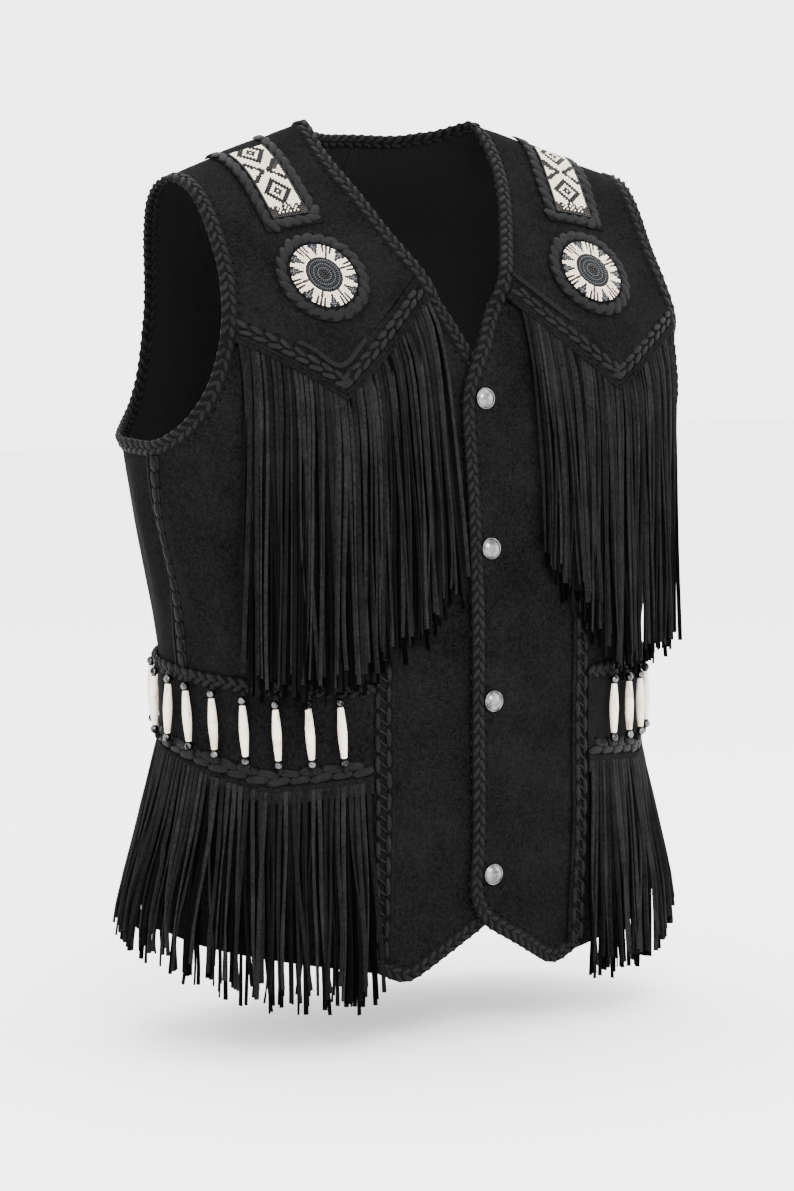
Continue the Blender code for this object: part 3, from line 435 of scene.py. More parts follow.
def suede_material(name, dark, light, patch, fibre, relief, toned_and_shaded=False):
    """Suede with its own colours and nap sizes; toned and shaded, each strip's colour is scaled by its own
    value, a random tone with painted shade or light.
    """
    material, tree = new_material(name)
    nap = nap_node(tree, dark, light, patch, fibre)
    colour = nap["Colour"]
    if toned_and_shaded:
        tone = add_node(tree, "ShaderNodeAttribute", attribute_name="tone").outputs["Fac"]
        links = {0: colour, "Scale": tone}
        colour = add_node(tree, "ShaderNodeVectorMath", links, operation="SCALE").outputs[0]
    return finish_material(material, {
        "Base Color": colour, "Roughness": nap["Roughness"], "Specular IOR Level": 0.02,
        "Normal": bump(tree, nap["Height"], relief, 0.0004),
        "Sheen Weight": 0.004, "Sheen Roughness": 0.45, "Sheen Tint": (0.75, 0.76, 0.80, 1),
    })


def twill_material():
    """The lining: fine diagonal ribs of a plain black twill."""
    material, tree = new_material("black_twill_lining")
    place = object_place(tree, Rotation=(0, math.radians(38), 0))
    links = {"Vector": place, "Scale": 190.0, "Distortion": 0.6, "Detail": 1.0}
    ribs = add_node(tree, "ShaderNodeTexWave", links, bands_direction="X").outputs["Fac"]
    return finish_material(material, {
        "Base Color": mixed(tree, ribs, (0.0016, 0.0016, 0.0017, 1), (0.0060, 0.0060, 0.0064, 1)),
        "Normal": bump(tree, ribs, 0.5, 0.0003), "Roughness": 0.85, "Specular IOR Level": 0.06,
    })


suede = suede_material("black_suede", (0.0003,) * 3, (0.0056, 0.0056, 0.0058), 0.05, 0.0010, 0.8)
lining = twill_material()


def keep(name, mesh, slot, *replaced):
    """A finished mesh as a piece of the vest, which stands for the solids named."""
    piece = link(name, mesh)
    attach(piece, "root")
    if replaced:
        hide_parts(*replaced)
    return piece


for part in cloth.values():
    mesh = part.mesh.copy()
    mesh.materials.clear()
    mesh.materials.append(suede)
    mesh.materials.append(lining)
    wall = {"thickness": SUEDE_THICKNESS, "offset": -1.0, "use_even_offset": False, "material_offset": 1}
    shaped = shaded(taken(modified(mesh, "SOLIDIFY", **wall)[0]), SHARP_CLOTH)
    piece = keep(f"suede_{part.name}", shaped, "black_suede", part.name)


# Laced edges
# The neckline, front edges, pointed hems, armholes and back neck are bound with black leather lace.
# The lace wraps the cut edge and its plaited turns show as two rows of slanted leaves on either face.
LACE_WIDTH = 0.010
LACE_THICKNESS = 0.0032
LACE_GAP = 0.0004
LACE_OVERLAP = 0.0016
LACE_PITCH = 0.0083
# How far out each row of leaves and the holes lie, how the leaves turn, and how deep they sit
INNER_OUT, OUTER_OUT, HOLE_OUT = 0.0021, 0.0070, -0.0024
INNER_TURN, OUTER_TURN = 24, -36
LEAF_SINK = 0.0008
# A leaf's taper, its least share of full width, and how far its back drops below its middle
LEAF_TAPER, LEAF_LEAST, LEAF_BACK = 2.4, 0.02, -0.3
# A pitch this little under an even share of a path keeps its last piece
PITCH_SLACK = 0.998
SHARP_STRAP = 55
ROW_UNEVEN = 0.06
TRACK_STEP = 0.002
GEOMETRY, OBJECT, MATERIAL, INTEGER, VECTOR = (
    f"NodeSocket{kind}" for kind in ("Geometry", "Object", "Material", "Int", "Vector")
)


def leather_material(name, dark, light, rough):
    """Smooth black leather with a fine grain and paler patches scattered at random."""
    material, tree = new_material(name)
    nap = nap_node(tree, (dark,) * 3, light, 0.009, 0.0007)
    return finish_material(material, {
        "Base Color": nap["Colour"], "Normal": bump(tree, nap["Height"], 0.5, 0.0003),
        "Roughness": rough, "Specular IOR Level": 0.06,
    })


lace = leather_material("black_lacing", 0.0003, (0.0058, 0.0058, 0.0060), 0.60)
# Painted shade: the bar under the leaves, stitches and rope is near-black so that the gaps between them look
# shadowed.
lace_base = leather_material("lace_base", 0.0001, (0.0012, 0.0012, 0.0013), 0.8)
# Painted shade: each punched hole is a flat near-black disc that stands for the shade inside the hole.
hole_painted_shade = leather_material("lace_holes", 0.0001, (0.0004, 0.0004, 0.0004), 0.95)


def steps_along(line):
    """How far along a line each of its points lies."""
    return np.concatenate([[0], np.cumsum(np.linalg.norm(np.diff(line, axis=0), axis=1))])


def read_along(at, reached, values):
    return np.stack([np.interp(at, reached, values[:, k]) for k in range(3)], 1)


def even_steps(line, values, spacing):
    """Arrays read off at even steps along a line."""
    reached = steps_along(line)
    at = np.linspace(0, reached[-1], max(2, round(reached[-1] / spacing)) + 1)
    return [read_along(at, reached, value) for value in values]


def track(runs, rounds=1, closed=False):
    """Rim runs joined end to end as one even, slightly smoothed line."""
    parts, last = [], None
    for i, run in enumerate(runs):
        ends = run["line"][[0, -1]]
        if i == 0 and len(runs) > 1:
            gaps = np.linalg.norm(ends[:, None] - runs[1]["line"][[0, -1]][None], axis=-1).min(1)
            turned = gaps[0] < gaps[1]
        else:
            turned = last is not None and np.linalg.norm(ends[1] - last) < np.linalg.norm(ends[0] - last)
        part = [run[key][::-1] if turned else run[key] for key in ("line", "facing", "off")]
        last = part[0][-1]
        parts.append(part)
    values = [np.concatenate([part[k] for part in parts]) for k in range(3)]
    if closed:
        values = [np.concatenate([value, value[:1]]) for value in values]
    values = even_steps(values[0], values, TRACK_STEP)
    if closed:
        values = [value[:-1] for value in values]
    for _ in range(rounds):
        for k, value in enumerate(values):
            spread = (np.roll(value, 1, 0) + np.roll(value, -1, 0) + 2 * value) / 4
            if not closed:
                spread[0], spread[-1] = value[0], value[-1]
            values[k] = spread
    line, facing, off = values
    if closed:
        along = np.roll(line, -1, 0) - np.roll(line, 1, 0)
    else:
        along = np.gradient(line, axis=0)
    outward = unit(np.cross(along, facing))
    outward *= np.sign((outward * off).sum())
    return {"line": line, "facing": unit(facing), "off": outward, "closed": closed}


def beside(path, out, lift=0.0, flip=False):
    """A path moved off the cloth and up from it; flipped, it faces inward."""
    line = path["line"] + path["off"] * out + path["facing"] * lift
    return {**path, "line": line, "facing": -path["facing"] if flip else path["facing"]}


def set_points(mesh, **columns):
    """A number or a vector for each point of a mesh, under each name."""
    for label, values in columns.items():
        values = np.array(values, float)
        kind, field = ("FLOAT", "value") if values.ndim == 1 else ("FLOAT_VECTOR", "vector")
        mesh.attributes.new(label, kind, "POINT").data.foreach_set(field, values.ravel())


def line_mesh(paths):
    """Paths as one mesh of edges, with the way that each point faces, its girth, and its tone with painted
    shade or light.
    """
    points, edges, facing, girth, tone = [], [], [], [], []
    for path in paths:
        start, count = len(points), len(path["line"])
        points += [tuple(point) for point in path["line"]]
        facing += [tuple(way) for way in path["facing"]]
        girth += list(path.get("girth", np.ones(count)))
        tone += [path.get("tone", 1.0)] * count
        edges += [(start + k, start + k + 1) for k in range(count - 1)]
        if path.get("closed"):
            edges.append((start + count - 1, start))
    mesh = bpy.data.meshes.new("lines")
    mesh.from_pydata(points, edges, [])
    set_points(mesh, facing=facing, girth=girth, tone=tone)
    return mesh


def attribute(tree, name, data_type="FLOAT_VECTOR"):
    return add_node(tree, "GeometryNodeInputNamedAttribute", {"Name": name}, data_type=data_type).outputs[0]


def lay_pieces(group, here, points, second, size):
    """A copy of the group's piece on each point: Z along the point's facing, X near a second axis."""
    axes = {"Primary Axis": attribute(group, "facing"), "Secondary Axis": second}
    lie = add_node(group, "FunctionNodeAxesToRotation", axes, primary_axis="Z", secondary_axis="X").outputs[0]
    piece = add_node(group, "GeometryNodeObjectInfo", {"Object": here["Piece"]}).outputs["Geometry"]
    links = {"Points": points, "Instance": piece, "Rotation": lie, "Scale": size}
    return add_node(group, "GeometryNodeInstanceOnPoints", links).outputs[0]


def close_group(group, here, geometry):
    """The end of a group: its pieces made real and given the group's material."""
    solid = add_node(group, "GeometryNodeRealizeInstances", {"Geometry": geometry}).outputs[0]
    links = {"Geometry": solid, "Material": here["Material"]}
    painted = add_node(group, "GeometryNodeSetMaterial", links).outputs[0]
    add_node(group, "NodeGroupOutput", {"Mesh": painted})
    return group


def build_row_group():
    """Copies of a piece at even steps along lines, each lying on the face that the line gives."""
    ins = (
        ("Lines", GEOMETRY, None), ("Piece", OBJECT, None), ("Pitch", FLOAT, 0.008),
        ("Turn", VECTOR, (0, 0, 0)), ("Shift", VECTOR, (0, 0, 0)), ("Uneven", FLOAT, ROW_UNEVEN),
        ("Seed", INTEGER, 1), ("Material", MATERIAL, None),
    )
    group = new_group("row of pieces", ins, (("Mesh", GEOMETRY, None),), "GeometryNodeTree")
    here = add_node(group, "NodeGroupInput").outputs

    def chance(low, high):
        return add_node(group, "FunctionNodeRandomValue", {2: low, 3: high, 8: here["Seed"]}).outputs[1]

    curve = add_node(group, "GeometryNodeMeshToCurve", {"Mesh": here["Lines"]}).outputs[0]
    links = {"Curve": curve, "Length": here["Pitch"]}
    steps = add_node(group, "GeometryNodeResampleCurve", links, mode="LENGTH").outputs[0]
    size = chance(*(maths(group, way, 1.0, here["Uneven"]) for way in ("SUBTRACT", "ADD")))
    tangent = add_node(group, "GeometryNodeInputTangent").outputs[0]
    links = {"Instances": lay_pieces(group, here, steps, tangent, size), "Translation": here["Shift"]}
    moved = add_node(group, "GeometryNodeTranslateInstances", links).outputs[0]
    swing = chance(*(maths(group, "MULTIPLY", here["Uneven"], share) for share in (-1.2, 1.2)))
    sway = add_node(group, "ShaderNodeCombineXYZ", {"Z": swing}).outputs[0]
    turn = add_node(group, "ShaderNodeVectorMath", {0: here["Turn"], 1: sway}, operation="ADD").outputs[0]
    links = {"Instances": moved, "Rotation": turn}
    return close_group(group, here, add_node(group, "GeometryNodeRotateInstances", links).outputs[0])


def build_strap_group():
    """A strap along lines, flat to the face that each line gives."""
    ins = (
        ("Lines", GEOMETRY, None), ("Width", FLOAT, 0.01), ("Thickness", FLOAT, 0.002),
        ("Rounding", FLOAT, 0.0008), ("Material", MATERIAL, None),
    )
    group = new_group("strap", ins, (("Mesh", GEOMETRY, None),), "GeometryNodeTree")
    here = add_node(group, "NodeGroupInput").outputs
    curve = add_node(group, "GeometryNodeMeshToCurve", {"Mesh": here["Lines"]}).outputs[0]
    links = {"Curve": curve, "Normal": attribute(group, "facing")}
    faced = add_node(group, "GeometryNodeSetCurveNormal", links, mode="FREE").outputs[0]
    links = {"Width": here["Thickness"], "Height": here["Width"]}
    section = add_node(group, "GeometryNodeCurvePrimitiveQuadrilateral", links).outputs[0]
    links = {"Curve": section, "Count": 2, "Radius": here["Rounding"], "Limit Radius": True}
    rounded = add_node(group, "GeometryNodeFilletCurve", links, mode="POLY").outputs[0]
    girth = attribute(group, "girth", "FLOAT")
    links = {"Curve": faced, "Profile Curve": rounded, "Scale": girth, "Fill Caps": True}
    return close_group(group, here, add_node(group, "GeometryNodeCurveToMesh", links).outputs[0])


row_group = build_row_group()
strap_group = build_strap_group()


def grown(group, mesh, inputs):
    """The mesh that a node group makes of a mesh of lines or points."""
    holder, grow = modified(mesh, "NODES", node_group=group)
    sockets = {item.name: item.identifier for item in group.interface.items_tree if item.in_out == "INPUT"}
    for label, value in inputs.items():
        grow[sockets[label]] = value
    return taken(holder)


def grown_with(piece, group, mesh, inputs):
    """The same with copies of a pattern piece, which is in the scene only meanwhile."""
    bpy.context.scene.collection.objects.link(piece)
    made = grown(group, mesh, {"Piece": piece, **inputs})
    bpy.context.scene.collection.objects.unlink(piece)
    return made


def tube_faces(count, sides):
    """The faces of a closed tube through a count of rings."""
    faces = []
    for r in range(count - 1):
        for s in range(sides):
            t = (s + 1) % sides
            faces.append((r * sides + s, r * sides + t, (r + 1) * sides + t, (r + 1) * sides + s))
    faces.append(tuple(range(sides))[::-1])
    faces.append(tuple(range((count - 1) * sides, count * sides)))
    return faces


def ring_angles(sides):
    return 2 * math.pi * np.arange(sides) / sides


def pattern_piece(name, rings, sides):
    """A small closed mesh through rings of points, kept out of the vest until it is copied."""
    mesh = bpy.data.meshes.new(name)
    mesh.from_pydata([point for ring in rings for point in ring], [], tube_faces(len(rings), sides))
    mesh.shade_smooth()
    return bpy.data.objects.new(name, mesh)


def lace_leaf(name, length, width, height, blunt=0.55, rings=6, sides=6):
    """A padded leaf of lace lying along X, with a nearly flat back."""
    rows = []
    for t in np.linspace(-1, 1, rings + 1):
        swell = max(1 - abs(t) ** LEAF_TAPER, LEAF_LEAST) ** blunt
        rows.append([
            (t * length / 2, width / 2 * swell * math.cos(a), height * swell * max(math.sin(a), LEAF_BACK))
            for a in ring_angles(sides)
        ])
    return pattern_piece(name, rows, sides)


def row(path, piece, pitch, turn=0.0, phase=0.0, seed=1, material=lace):
    """Copies of a piece along a path; the phase starts them part of a step further on."""
    line, closed = path["line"], path.get("closed")
    reached = steps_along(np.concatenate([line, line[:1]]) if closed else line)
    step = reached[-1] / max(1, round(reached[-1] / pitch))
    if phase and not closed:
        inside = np.linspace(phase * step, reached[-1] - (1 - phase) * step, len(line))
        path = {key: read_along(inside, reached, path[key]) for key in ("line", "facing")}
    return grown_with(piece, row_group, line_mesh([path]), {
        "Pitch": step * PITCH_SLACK, "Turn": (0.0, 0.0, math.radians(turn)), "Material": material,
        "Shift": (phase * step if closed else 0.0, 0, 0), "Uneven": ROW_UNEVEN, "Seed": seed,
    })


def strap(paths, width, thickness, rounding, material=lace):
    """Flat straps along paths."""
    return shaded(grown(strap_group, line_mesh(paths), {
        "Width": width, "Thickness": thickness, "Rounding": rounding, "Material": material,
    }), SHARP_STRAP)


def tape(path, out, lift, *sizes):
    """One strap beside a path."""
    return strap([beside(path, out, lift)], *sizes)


def merged(meshes):
    """Several meshes as one, with their materials."""
    whole, materials = bmesh.new(), []
    for mesh in meshes:
        places = []
        for material in mesh.materials:
            if material not in materials:
                materials.append(material)
            places.append(materials.index(material))
        start = len(whole.faces)
        whole.from_mesh(mesh)
        whole.faces.ensure_lookup_table()
        for face in whole.faces[start:]:
            face.material_index = places[face.material_index]
    mesh = bpy.data.meshes.new("merged")
    whole.to_mesh(mesh)
    whole.free()
    for material in materials:
        mesh.materials.append(material)
    return mesh


small_hole = lace_leaf("small_hole", 0.0024, 0.0020, 0.0005, 0.2, 3, 6)
inner_leaf = lace_leaf("inner_leaf", 0.0096, 0.0050, 0.0021, 0.42)
outer_leaf = lace_leaf("outer_leaf", 0.0100, 0.0044, 0.0022, 0.42)


def holes(path, out, lift, pitch, phase, piece=small_hole):
    """A row of punched holes beside a path, each a flat near-black disc of painted shade."""
    return row(beside(path, out, lift), piece, pitch, phase=phase, material=hole_painted_shade)


def laced(name, path, replaced):
    """Lacing that wraps a cut edge: the bar, near-black as painted shade between the leaves, and two rows of
    leaves on each face.
    """
    middle = -SUEDE_THICKNESS / 2
    half_bar = LACE_GAP + (LACE_WIDTH - LACE_OVERLAP) / 2
    # The bar is painted shade: near-black leather that shows dark in the gaps between the leaves.
    parts = [tape(path, half_bar, middle, LACE_WIDTH + LACE_OVERLAP, LACE_THICKNESS, 0.0012, lace_base)]
    for side, flip in ((1, False), (-1, True)):
        lift = middle + side * (LACE_THICKNESS / 2 - LEAF_SINK)
        near = beside(path, LACE_GAP + INNER_OUT, lift, flip)
        far = beside(path, LACE_GAP + OUTER_OUT, lift, flip)
        parts.append(row(near, inner_leaf, LACE_PITCH, turn=side * INNER_TURN, seed=3 + side))
        parts.append(row(far, outer_leaf, LACE_PITCH, turn=side * OUTER_TURN, phase=0.5, seed=5 + side))
    parts.append(holes(path, HOLE_OUT, 0.0001, LACE_PITCH, 0.5))
    keep(name, merged(parts), "black_lacing", replaced)


def cut(run, kept):
    """A run or path with only the points that a test of their x, y and z keeps."""
    chosen = np.array([bool(kept(*point)) for point in run["line"]])
    return {key: value[chosen] if isinstance(value, np.ndarray) else value for key, value in run.items()}


def rim(panel, half, point, kept=None):
    """The stretch of a panel's rim that passes nearest to a point, given for the left half."""
    target = np.array(point) * (HALVES[half], 1, 1)
    run = min(cloth[panel, half].runs, key=lambda run: np.linalg.norm(run["line"] - target, axis=1).min())
    return cut(run, kept) if kept else run


# Where each front's lower corner lies, which the lace goes round in an even curve
CORNER_X, CORNER_Z, CORNER_CLEAR = 0.0085, -0.594, 0.0095
NECK_OVERLAP_Z = -0.1345
HEM_TOP = -0.55

for half, sign in HALVES.items():
    opening = rim("front_centre", half, (-0.006, -0.145, -0.40), lambda x, y, z: z < NECK_OVERLAP_Z)
    opening = cut(opening, lambda x, y, z: math.hypot(sign * x + CORNER_X, z - CORNER_Z) > CORNER_CLEAR)
    hems = [run for run in cloth["front_centre", half].runs if run["line"][:, 2].max() < HEM_TOP]
    hems.sort(key=lambda run: sign * run["line"][:, 0].mean())
    edge = track([rim("yoke", half, (0.0655, -0.040, -0.050)), opening, *hems], rounds=16)
    laced(f"edge_lacing_{half}", edge, f"lacing_edge_{half}")

neck_runs = [
    (rim("yoke", half, (0.074, 0.022, -0.008)),
     rim("back", half, (0.030, 0.040, -0.017), lambda x, y, z: abs(x) < 0.0585))
    for half in HALVES
]
neck_path = track([*neck_runs[0], *neck_runs[1][::-1]], rounds=12)
laced("back_neck_lacing", neck_path, "lacing_back_neck")
neck_stitch = lace_leaf("neck_stitch", 0.0052, 0.0013, 0.0007, 0.3, 4, 6)
inside_neck = beside(neck_path, -0.0040, -SUEDE_THICKNESS, flip=True)
keep("back_neck_stitches", row(inside_neck, neck_stitch, 0.0076, phase=0.5), "black_lacing")

for half in HALVES:
    armhole = track([
        rim("front_side", half, (0.215, -0.080, -0.205), lambda x, y, z: z < -0.166),
        rim("yoke", half, (0.197, -0.035, -0.060)),
        rim("back", half, (0.215, 0.060, -0.160)),
    ], rounds=16, closed=True)
    laced(f"armhole_lacing_{half}", armhole, f"lacing_armhole_{half}")


# Princess seams
# A strip over each front seam is sewn down with two columns of lace stitches, joined by slanting
# turns, with the punched holes showing between the stitches.
STITCH_PITCH = 0.016
STRIP_LIFT = 0.0012
# Each column of stitches: how far it lies to the side, and the phases of its stitches and holes
STITCH_COLUMNS = ((-0.0041, 0.5, 0.0), (0.0045, 0.75, 0.25))
stitch = lace_leaf("seam_stitch", 0.0142, 0.0052, 0.0023, 0.45)
cross_turn = lace_leaf("cross_turn", 0.0098, 0.0024, 0.0016)
punched_hole = lace_leaf("punched_hole", 0.0032, 0.0032, 0.0005, 0.2, 4, 6)

for half in HALVES:
    whole = track([rim("front_side", half, (0.091, -0.135, -0.40))], rounds=2)
    under_yoke = cut(whole, lambda x, y, z: z > -0.236)
    seam = cut(whole, lambda x, y, z: -0.630 < z < -0.227)
    parts = [
        tape(under_yoke, 0, 0.0001, 0.008, 0.0008, 0.0002),
        # This strip is painted shade: near-black leather that shows dark between the stitches.
        tape(seam, 0.0003, 0.0006, 0.0150, 0.0012, 0.0005, lace_base),
        tape(seam, 0.0003, -SUEDE_THICKNESS, 0.012, 0.0010, 0.0004),
        tape(seam, 0.0084, 0.0009, 0.0030, 0.0018, 0.0007, suede),
    ]
    for out, phase, hole_phase in STITCH_COLUMNS:
        parts.append(row(beside(seam, out, STRIP_LIFT), stitch, STITCH_PITCH, phase=phase, seed=11))
        parts.append(holes(seam, out, STRIP_LIFT + 0.0001, STITCH_PITCH, hole_phase, punched_hole))
    turns = beside(seam, 0.0002, STRIP_LIFT + 0.0001)
    parts.append(row(turns, cross_turn, STITCH_PITCH / 2, turn=52, seed=12))
    keep(f"princess_lacing_{half}", merged(parts), "black_lacing", f"lacing_princess_{half}")


# Side seams
# A single plait of lace covers each side seam from the armhole to the waist band, with a row of
# punched holes on either side and a thin ridge where the seam allowance is turned.
PLAIT_PITCH = 0.0112
plait_leaf = lace_leaf("plait_leaf", 0.0135, 0.0060, 0.0024)

for half in HALVES:
    seam = track([rim("front_side", half, (0.215, -0.030, -0.40))], rounds=2)
    upper = cut(seam, lambda x, y, z: z > -0.408)
    lower = cut(seam, lambda x, y, z: z < -0.400)
    parts = [
        tape(upper, 0, 0.0003, 0.0095, 0.0010, 0.0004),
        tape(lower, 0, 0.0001, 0.0070, 0.0008, 0.0003),
        tape(seam, 0, -SUEDE_THICKNESS, 0.0100, 0.0008, 0.0003),
        tape(upper, 0.0072, 0.0006, 0.0014, 0.0013, 0.0005),
        row(beside(upper, 0, 0.0008), plait_leaf, PLAIT_PITCH, turn=14, phase=0.5, seed=21),
    ]
    parts += [holes(upper, out, 0.0007, PLAIT_PITCH, 0.999, punched_hole) for out in (-0.0040, 0.0040)]
    keep(f"side_plait_{half}", merged(parts), "black_lacing", f"lacing_side_{half}")


# Yoke edges and joining seams
# Each yoke's lower edge is turned under as a double roll and held by slanting lace stitches above
# it. Narrow tapes lie over the seams between yokes and backs and down the centre back.
edge_stitch = lace_leaf("edge_stitch", 0.0118, 0.0052, 0.0013, 0.42)
yoke_edge = {}

for half in HALVES:
    edge = track([rim("yoke", half, point) for point in ((0.080, -0.128, -0.170), (0.162, -0.122, -0.184))])
    yoke_edge[half] = edge
    back_seam = track([rim("yoke", half, (0.130, 0.024, -0.032))])
    keep(f"yoke_edge_{half}", merged([
        tape(edge, -0.0006, -0.0006, 0.0034, 0.0030, 0.0012, suede),
        tape(edge, -0.0034, 0.0002, 0.0030, 0.0014, 0.0006, suede),
        row(beside(edge, -0.0076, 0.0001), edge_stitch, PLAIT_PITCH, turn=12, phase=0.5, seed=31),
        row(beside(edge, -0.0126), edge_stitch, PLAIT_PITCH, turn=-10, phase=0.99, seed=32),
        holes(edge, -0.0154, 0.0, PLAIT_PITCH, 0.5),
        holes(edge, -0.0054, 0.0002, PLAIT_PITCH, 0.99),
        tape(back_seam, 0, 0.0002, 0.0060, 0.0010, 0.0004, suede),
        tape(back_seam, 0, -SUEDE_THICKNESS, 0.0100, 0.0008, 0.0003, lining),
    ]), "black_suede")

middle_seam = track([rim("back", "left", (0.0, 0.100, -0.35))])
middle_seam["line"] = middle_seam["line"] * (0, 1, 1)
middle_seam["facing"] = unit(middle_seam["facing"] * (0, 1, 1))
keep("centre_back_tapes", merged([
    tape(middle_seam, 0, 0.0001, 0.0060, 0.0010, 0.0004, suede),
    tape(middle_seam, 0, -SUEDE_THICKNESS, 0.0090, 0.0009, 0.0003, lining),
]), "black_suede")


# Waist bands
# A band of suede goes round the waist from each princess seam to the centre back. A rope plait is
# laced along its top, and two rows of flat scales and a rolled border along its bottom.
BODY_Y = -0.018
BAND_START_X = 0.0985
BAND_LIFT, BAND_THICKNESS = 0.0026, 0.0014
# Heights round the waist: the share of the half girth from the front, and the height there
BAND_TOP = ((0.17, -0.417), (0.35, -0.413), (0.476, -0.406), (0.60, -0.399), (1.0, -0.396))
BAND_BOTTOM = ((0.17, -0.488), (0.34, -0.496), (0.476, -0.479), (0.60, -0.468), (1.0, -0.464))
BAND_ROWS = 9
WAIST_HEIGHT = -0.45
WAIST_STEP = 0.003
WAIST_END = math.pi - 0.002
WAIST_SAMPLES, FRONT_SAMPLES = 240, 60
# A ray that falls just between two panels is sent again, turned by each of these
NUDGES = (0.0, 0.004, -0.004, 0.009, -0.009)
RAY_START, RAY_REACH = 0.5, 0.46
SCALE_PITCH, ROPE_PITCH = 0.016, 0.0086


def read_off(table, at):
    """A value read off a table of pairs, straight between its rows."""
    knots, values = zip(*table)
    return np.interp(at, knots, values)


def body_point(angle, height, half):
    """The outermost cloth point in a direction round the body, and its outward normal."""
    for nudge in NUDGES:
        turned = angle + nudge
        way = Vector((HALVES[half] * math.sin(turned), -math.cos(turned), 0))
        start = Vector((0, BODY_Y, height)) + way * RAY_START
        hits = [cloth[panel, half].ray(start, -way) for panel in ("front_centre", "front_side", "back")]
        hits = [hit for hit in hits if hit[0] is not None and hit[2] < RAY_REACH]
        if hits:
            place, normal, _ = min(hits, key=lambda hit: hit[2])
            return np.array(place), np.array(normal if normal.dot(way) > 0 else -normal)
    raise ValueError(f"no cloth at {angle:.3f} {height:.3f} {half}")


def waist_table(half):
    """Angles round the waist, the share of the half girth each has reached, the girth and the start."""
    angles = np.linspace(0.0, WAIST_END, WAIST_SAMPLES)
    points = np.array([body_point(angle, WAIST_HEIGHT, half)[0] for angle in angles])
    reached = steps_along(points)
    start = np.interp(BAND_START_X, np.abs(points[:FRONT_SAMPLES, 0]), angles[:FRONT_SAMPLES])
    return angles, reached / reached[-1], reached[-1], start


waist = {half: waist_table(half) for half in HALVES}


def softened(values):
    return (values[:-2] + values[2:] + 2 * values[1:-1]) / 4


def round_line(half, heights, rise, lift):
    """A path round the waist, a rise above the heights that a table gives, lifted off the cloth."""
    angles, shares, girth, start = waist[half]
    at = np.linspace(start, WAIST_END, max(2, round(girth / WAIST_STEP)))
    levels = read_off(heights, np.interp(at, angles, shares)) + rise
    line, facing = np.array([body_point(a, z, half) for a, z in zip(at, levels)]).swapaxes(0, 1)
    for _ in range(4):
        line[1:-1] = softened(line)
        facing[1:-1] = softened(facing)
    facing = unit(facing)
    off = unit(np.cross(np.gradient(line, axis=0), facing))
    off *= np.sign(off[:, 2:3]) * -1
    return {"line": line + facing * lift, "facing": facing, "off": off}


def solid_mesh(points, faces, material, degrees):
    """A closed mesh with its faces turned outward, in one material."""
    mesh = bpy.data.meshes.new("solid")
    mesh.from_pydata(points, [], faces)
    shaped = bmesh.new()
    shaped.from_mesh(mesh)
    bmesh.ops.recalc_face_normals(shaped, faces=shaped.faces)
    shaped.to_mesh(mesh)
    shaped.free()
    mesh.materials.append(material)
    return shaded(mesh, degrees)


def slab(points, normals, thickness, closed=False):
    """A closed slab of suede from a grid of points: its upper face, and its lower one below."""
    rows, columns = points.shape[:2]
    number = np.arange(rows * columns).reshape(rows, columns)
    below = rows * columns
    faces = []
    steps = [(c, (c + 1) % columns) for c in range(columns if closed else columns - 1)]
    for r in range(rows - 1):
        for c, d in steps:
            face = (number[r, c], number[r, d], number[r + 1, d], number[r + 1, c])
            faces += [face, tuple(v + below for v in face[::-1])]
    walls = [((r, c), (r, d), turn) for r, turn in ((0, -1), (rows - 1, 1)) for c, d in steps]
    if not closed:
        ends = ((0, 1), (columns - 1, -1))
        walls += [((r, c), (r + 1, c), turn) for c, turn in ends for r in range(rows - 1)]
    for one, other, turn in walls:
        faces.append((number[one], number[other], number[other] + below, number[one] + below)[::turn])
    vertices = np.concatenate([points.reshape(-1, 3), (points - normals * thickness).reshape(-1, 3)])
    return solid_mesh(vertices.tolist(), [tuple(map(int, face)) for face in faces], suede, SHARP_CLOTH)


scale_plate = lace_leaf("scale_plate", 0.0166, 0.0080, 0.0011, 0.28)
rope_lobe = lace_leaf("rope_lobe", 0.0112, 0.0056, 0.0026)
band_knots, band_lows = zip(*BAND_BOTTOM)
band_highs = read_off(BAND_TOP, band_knots)

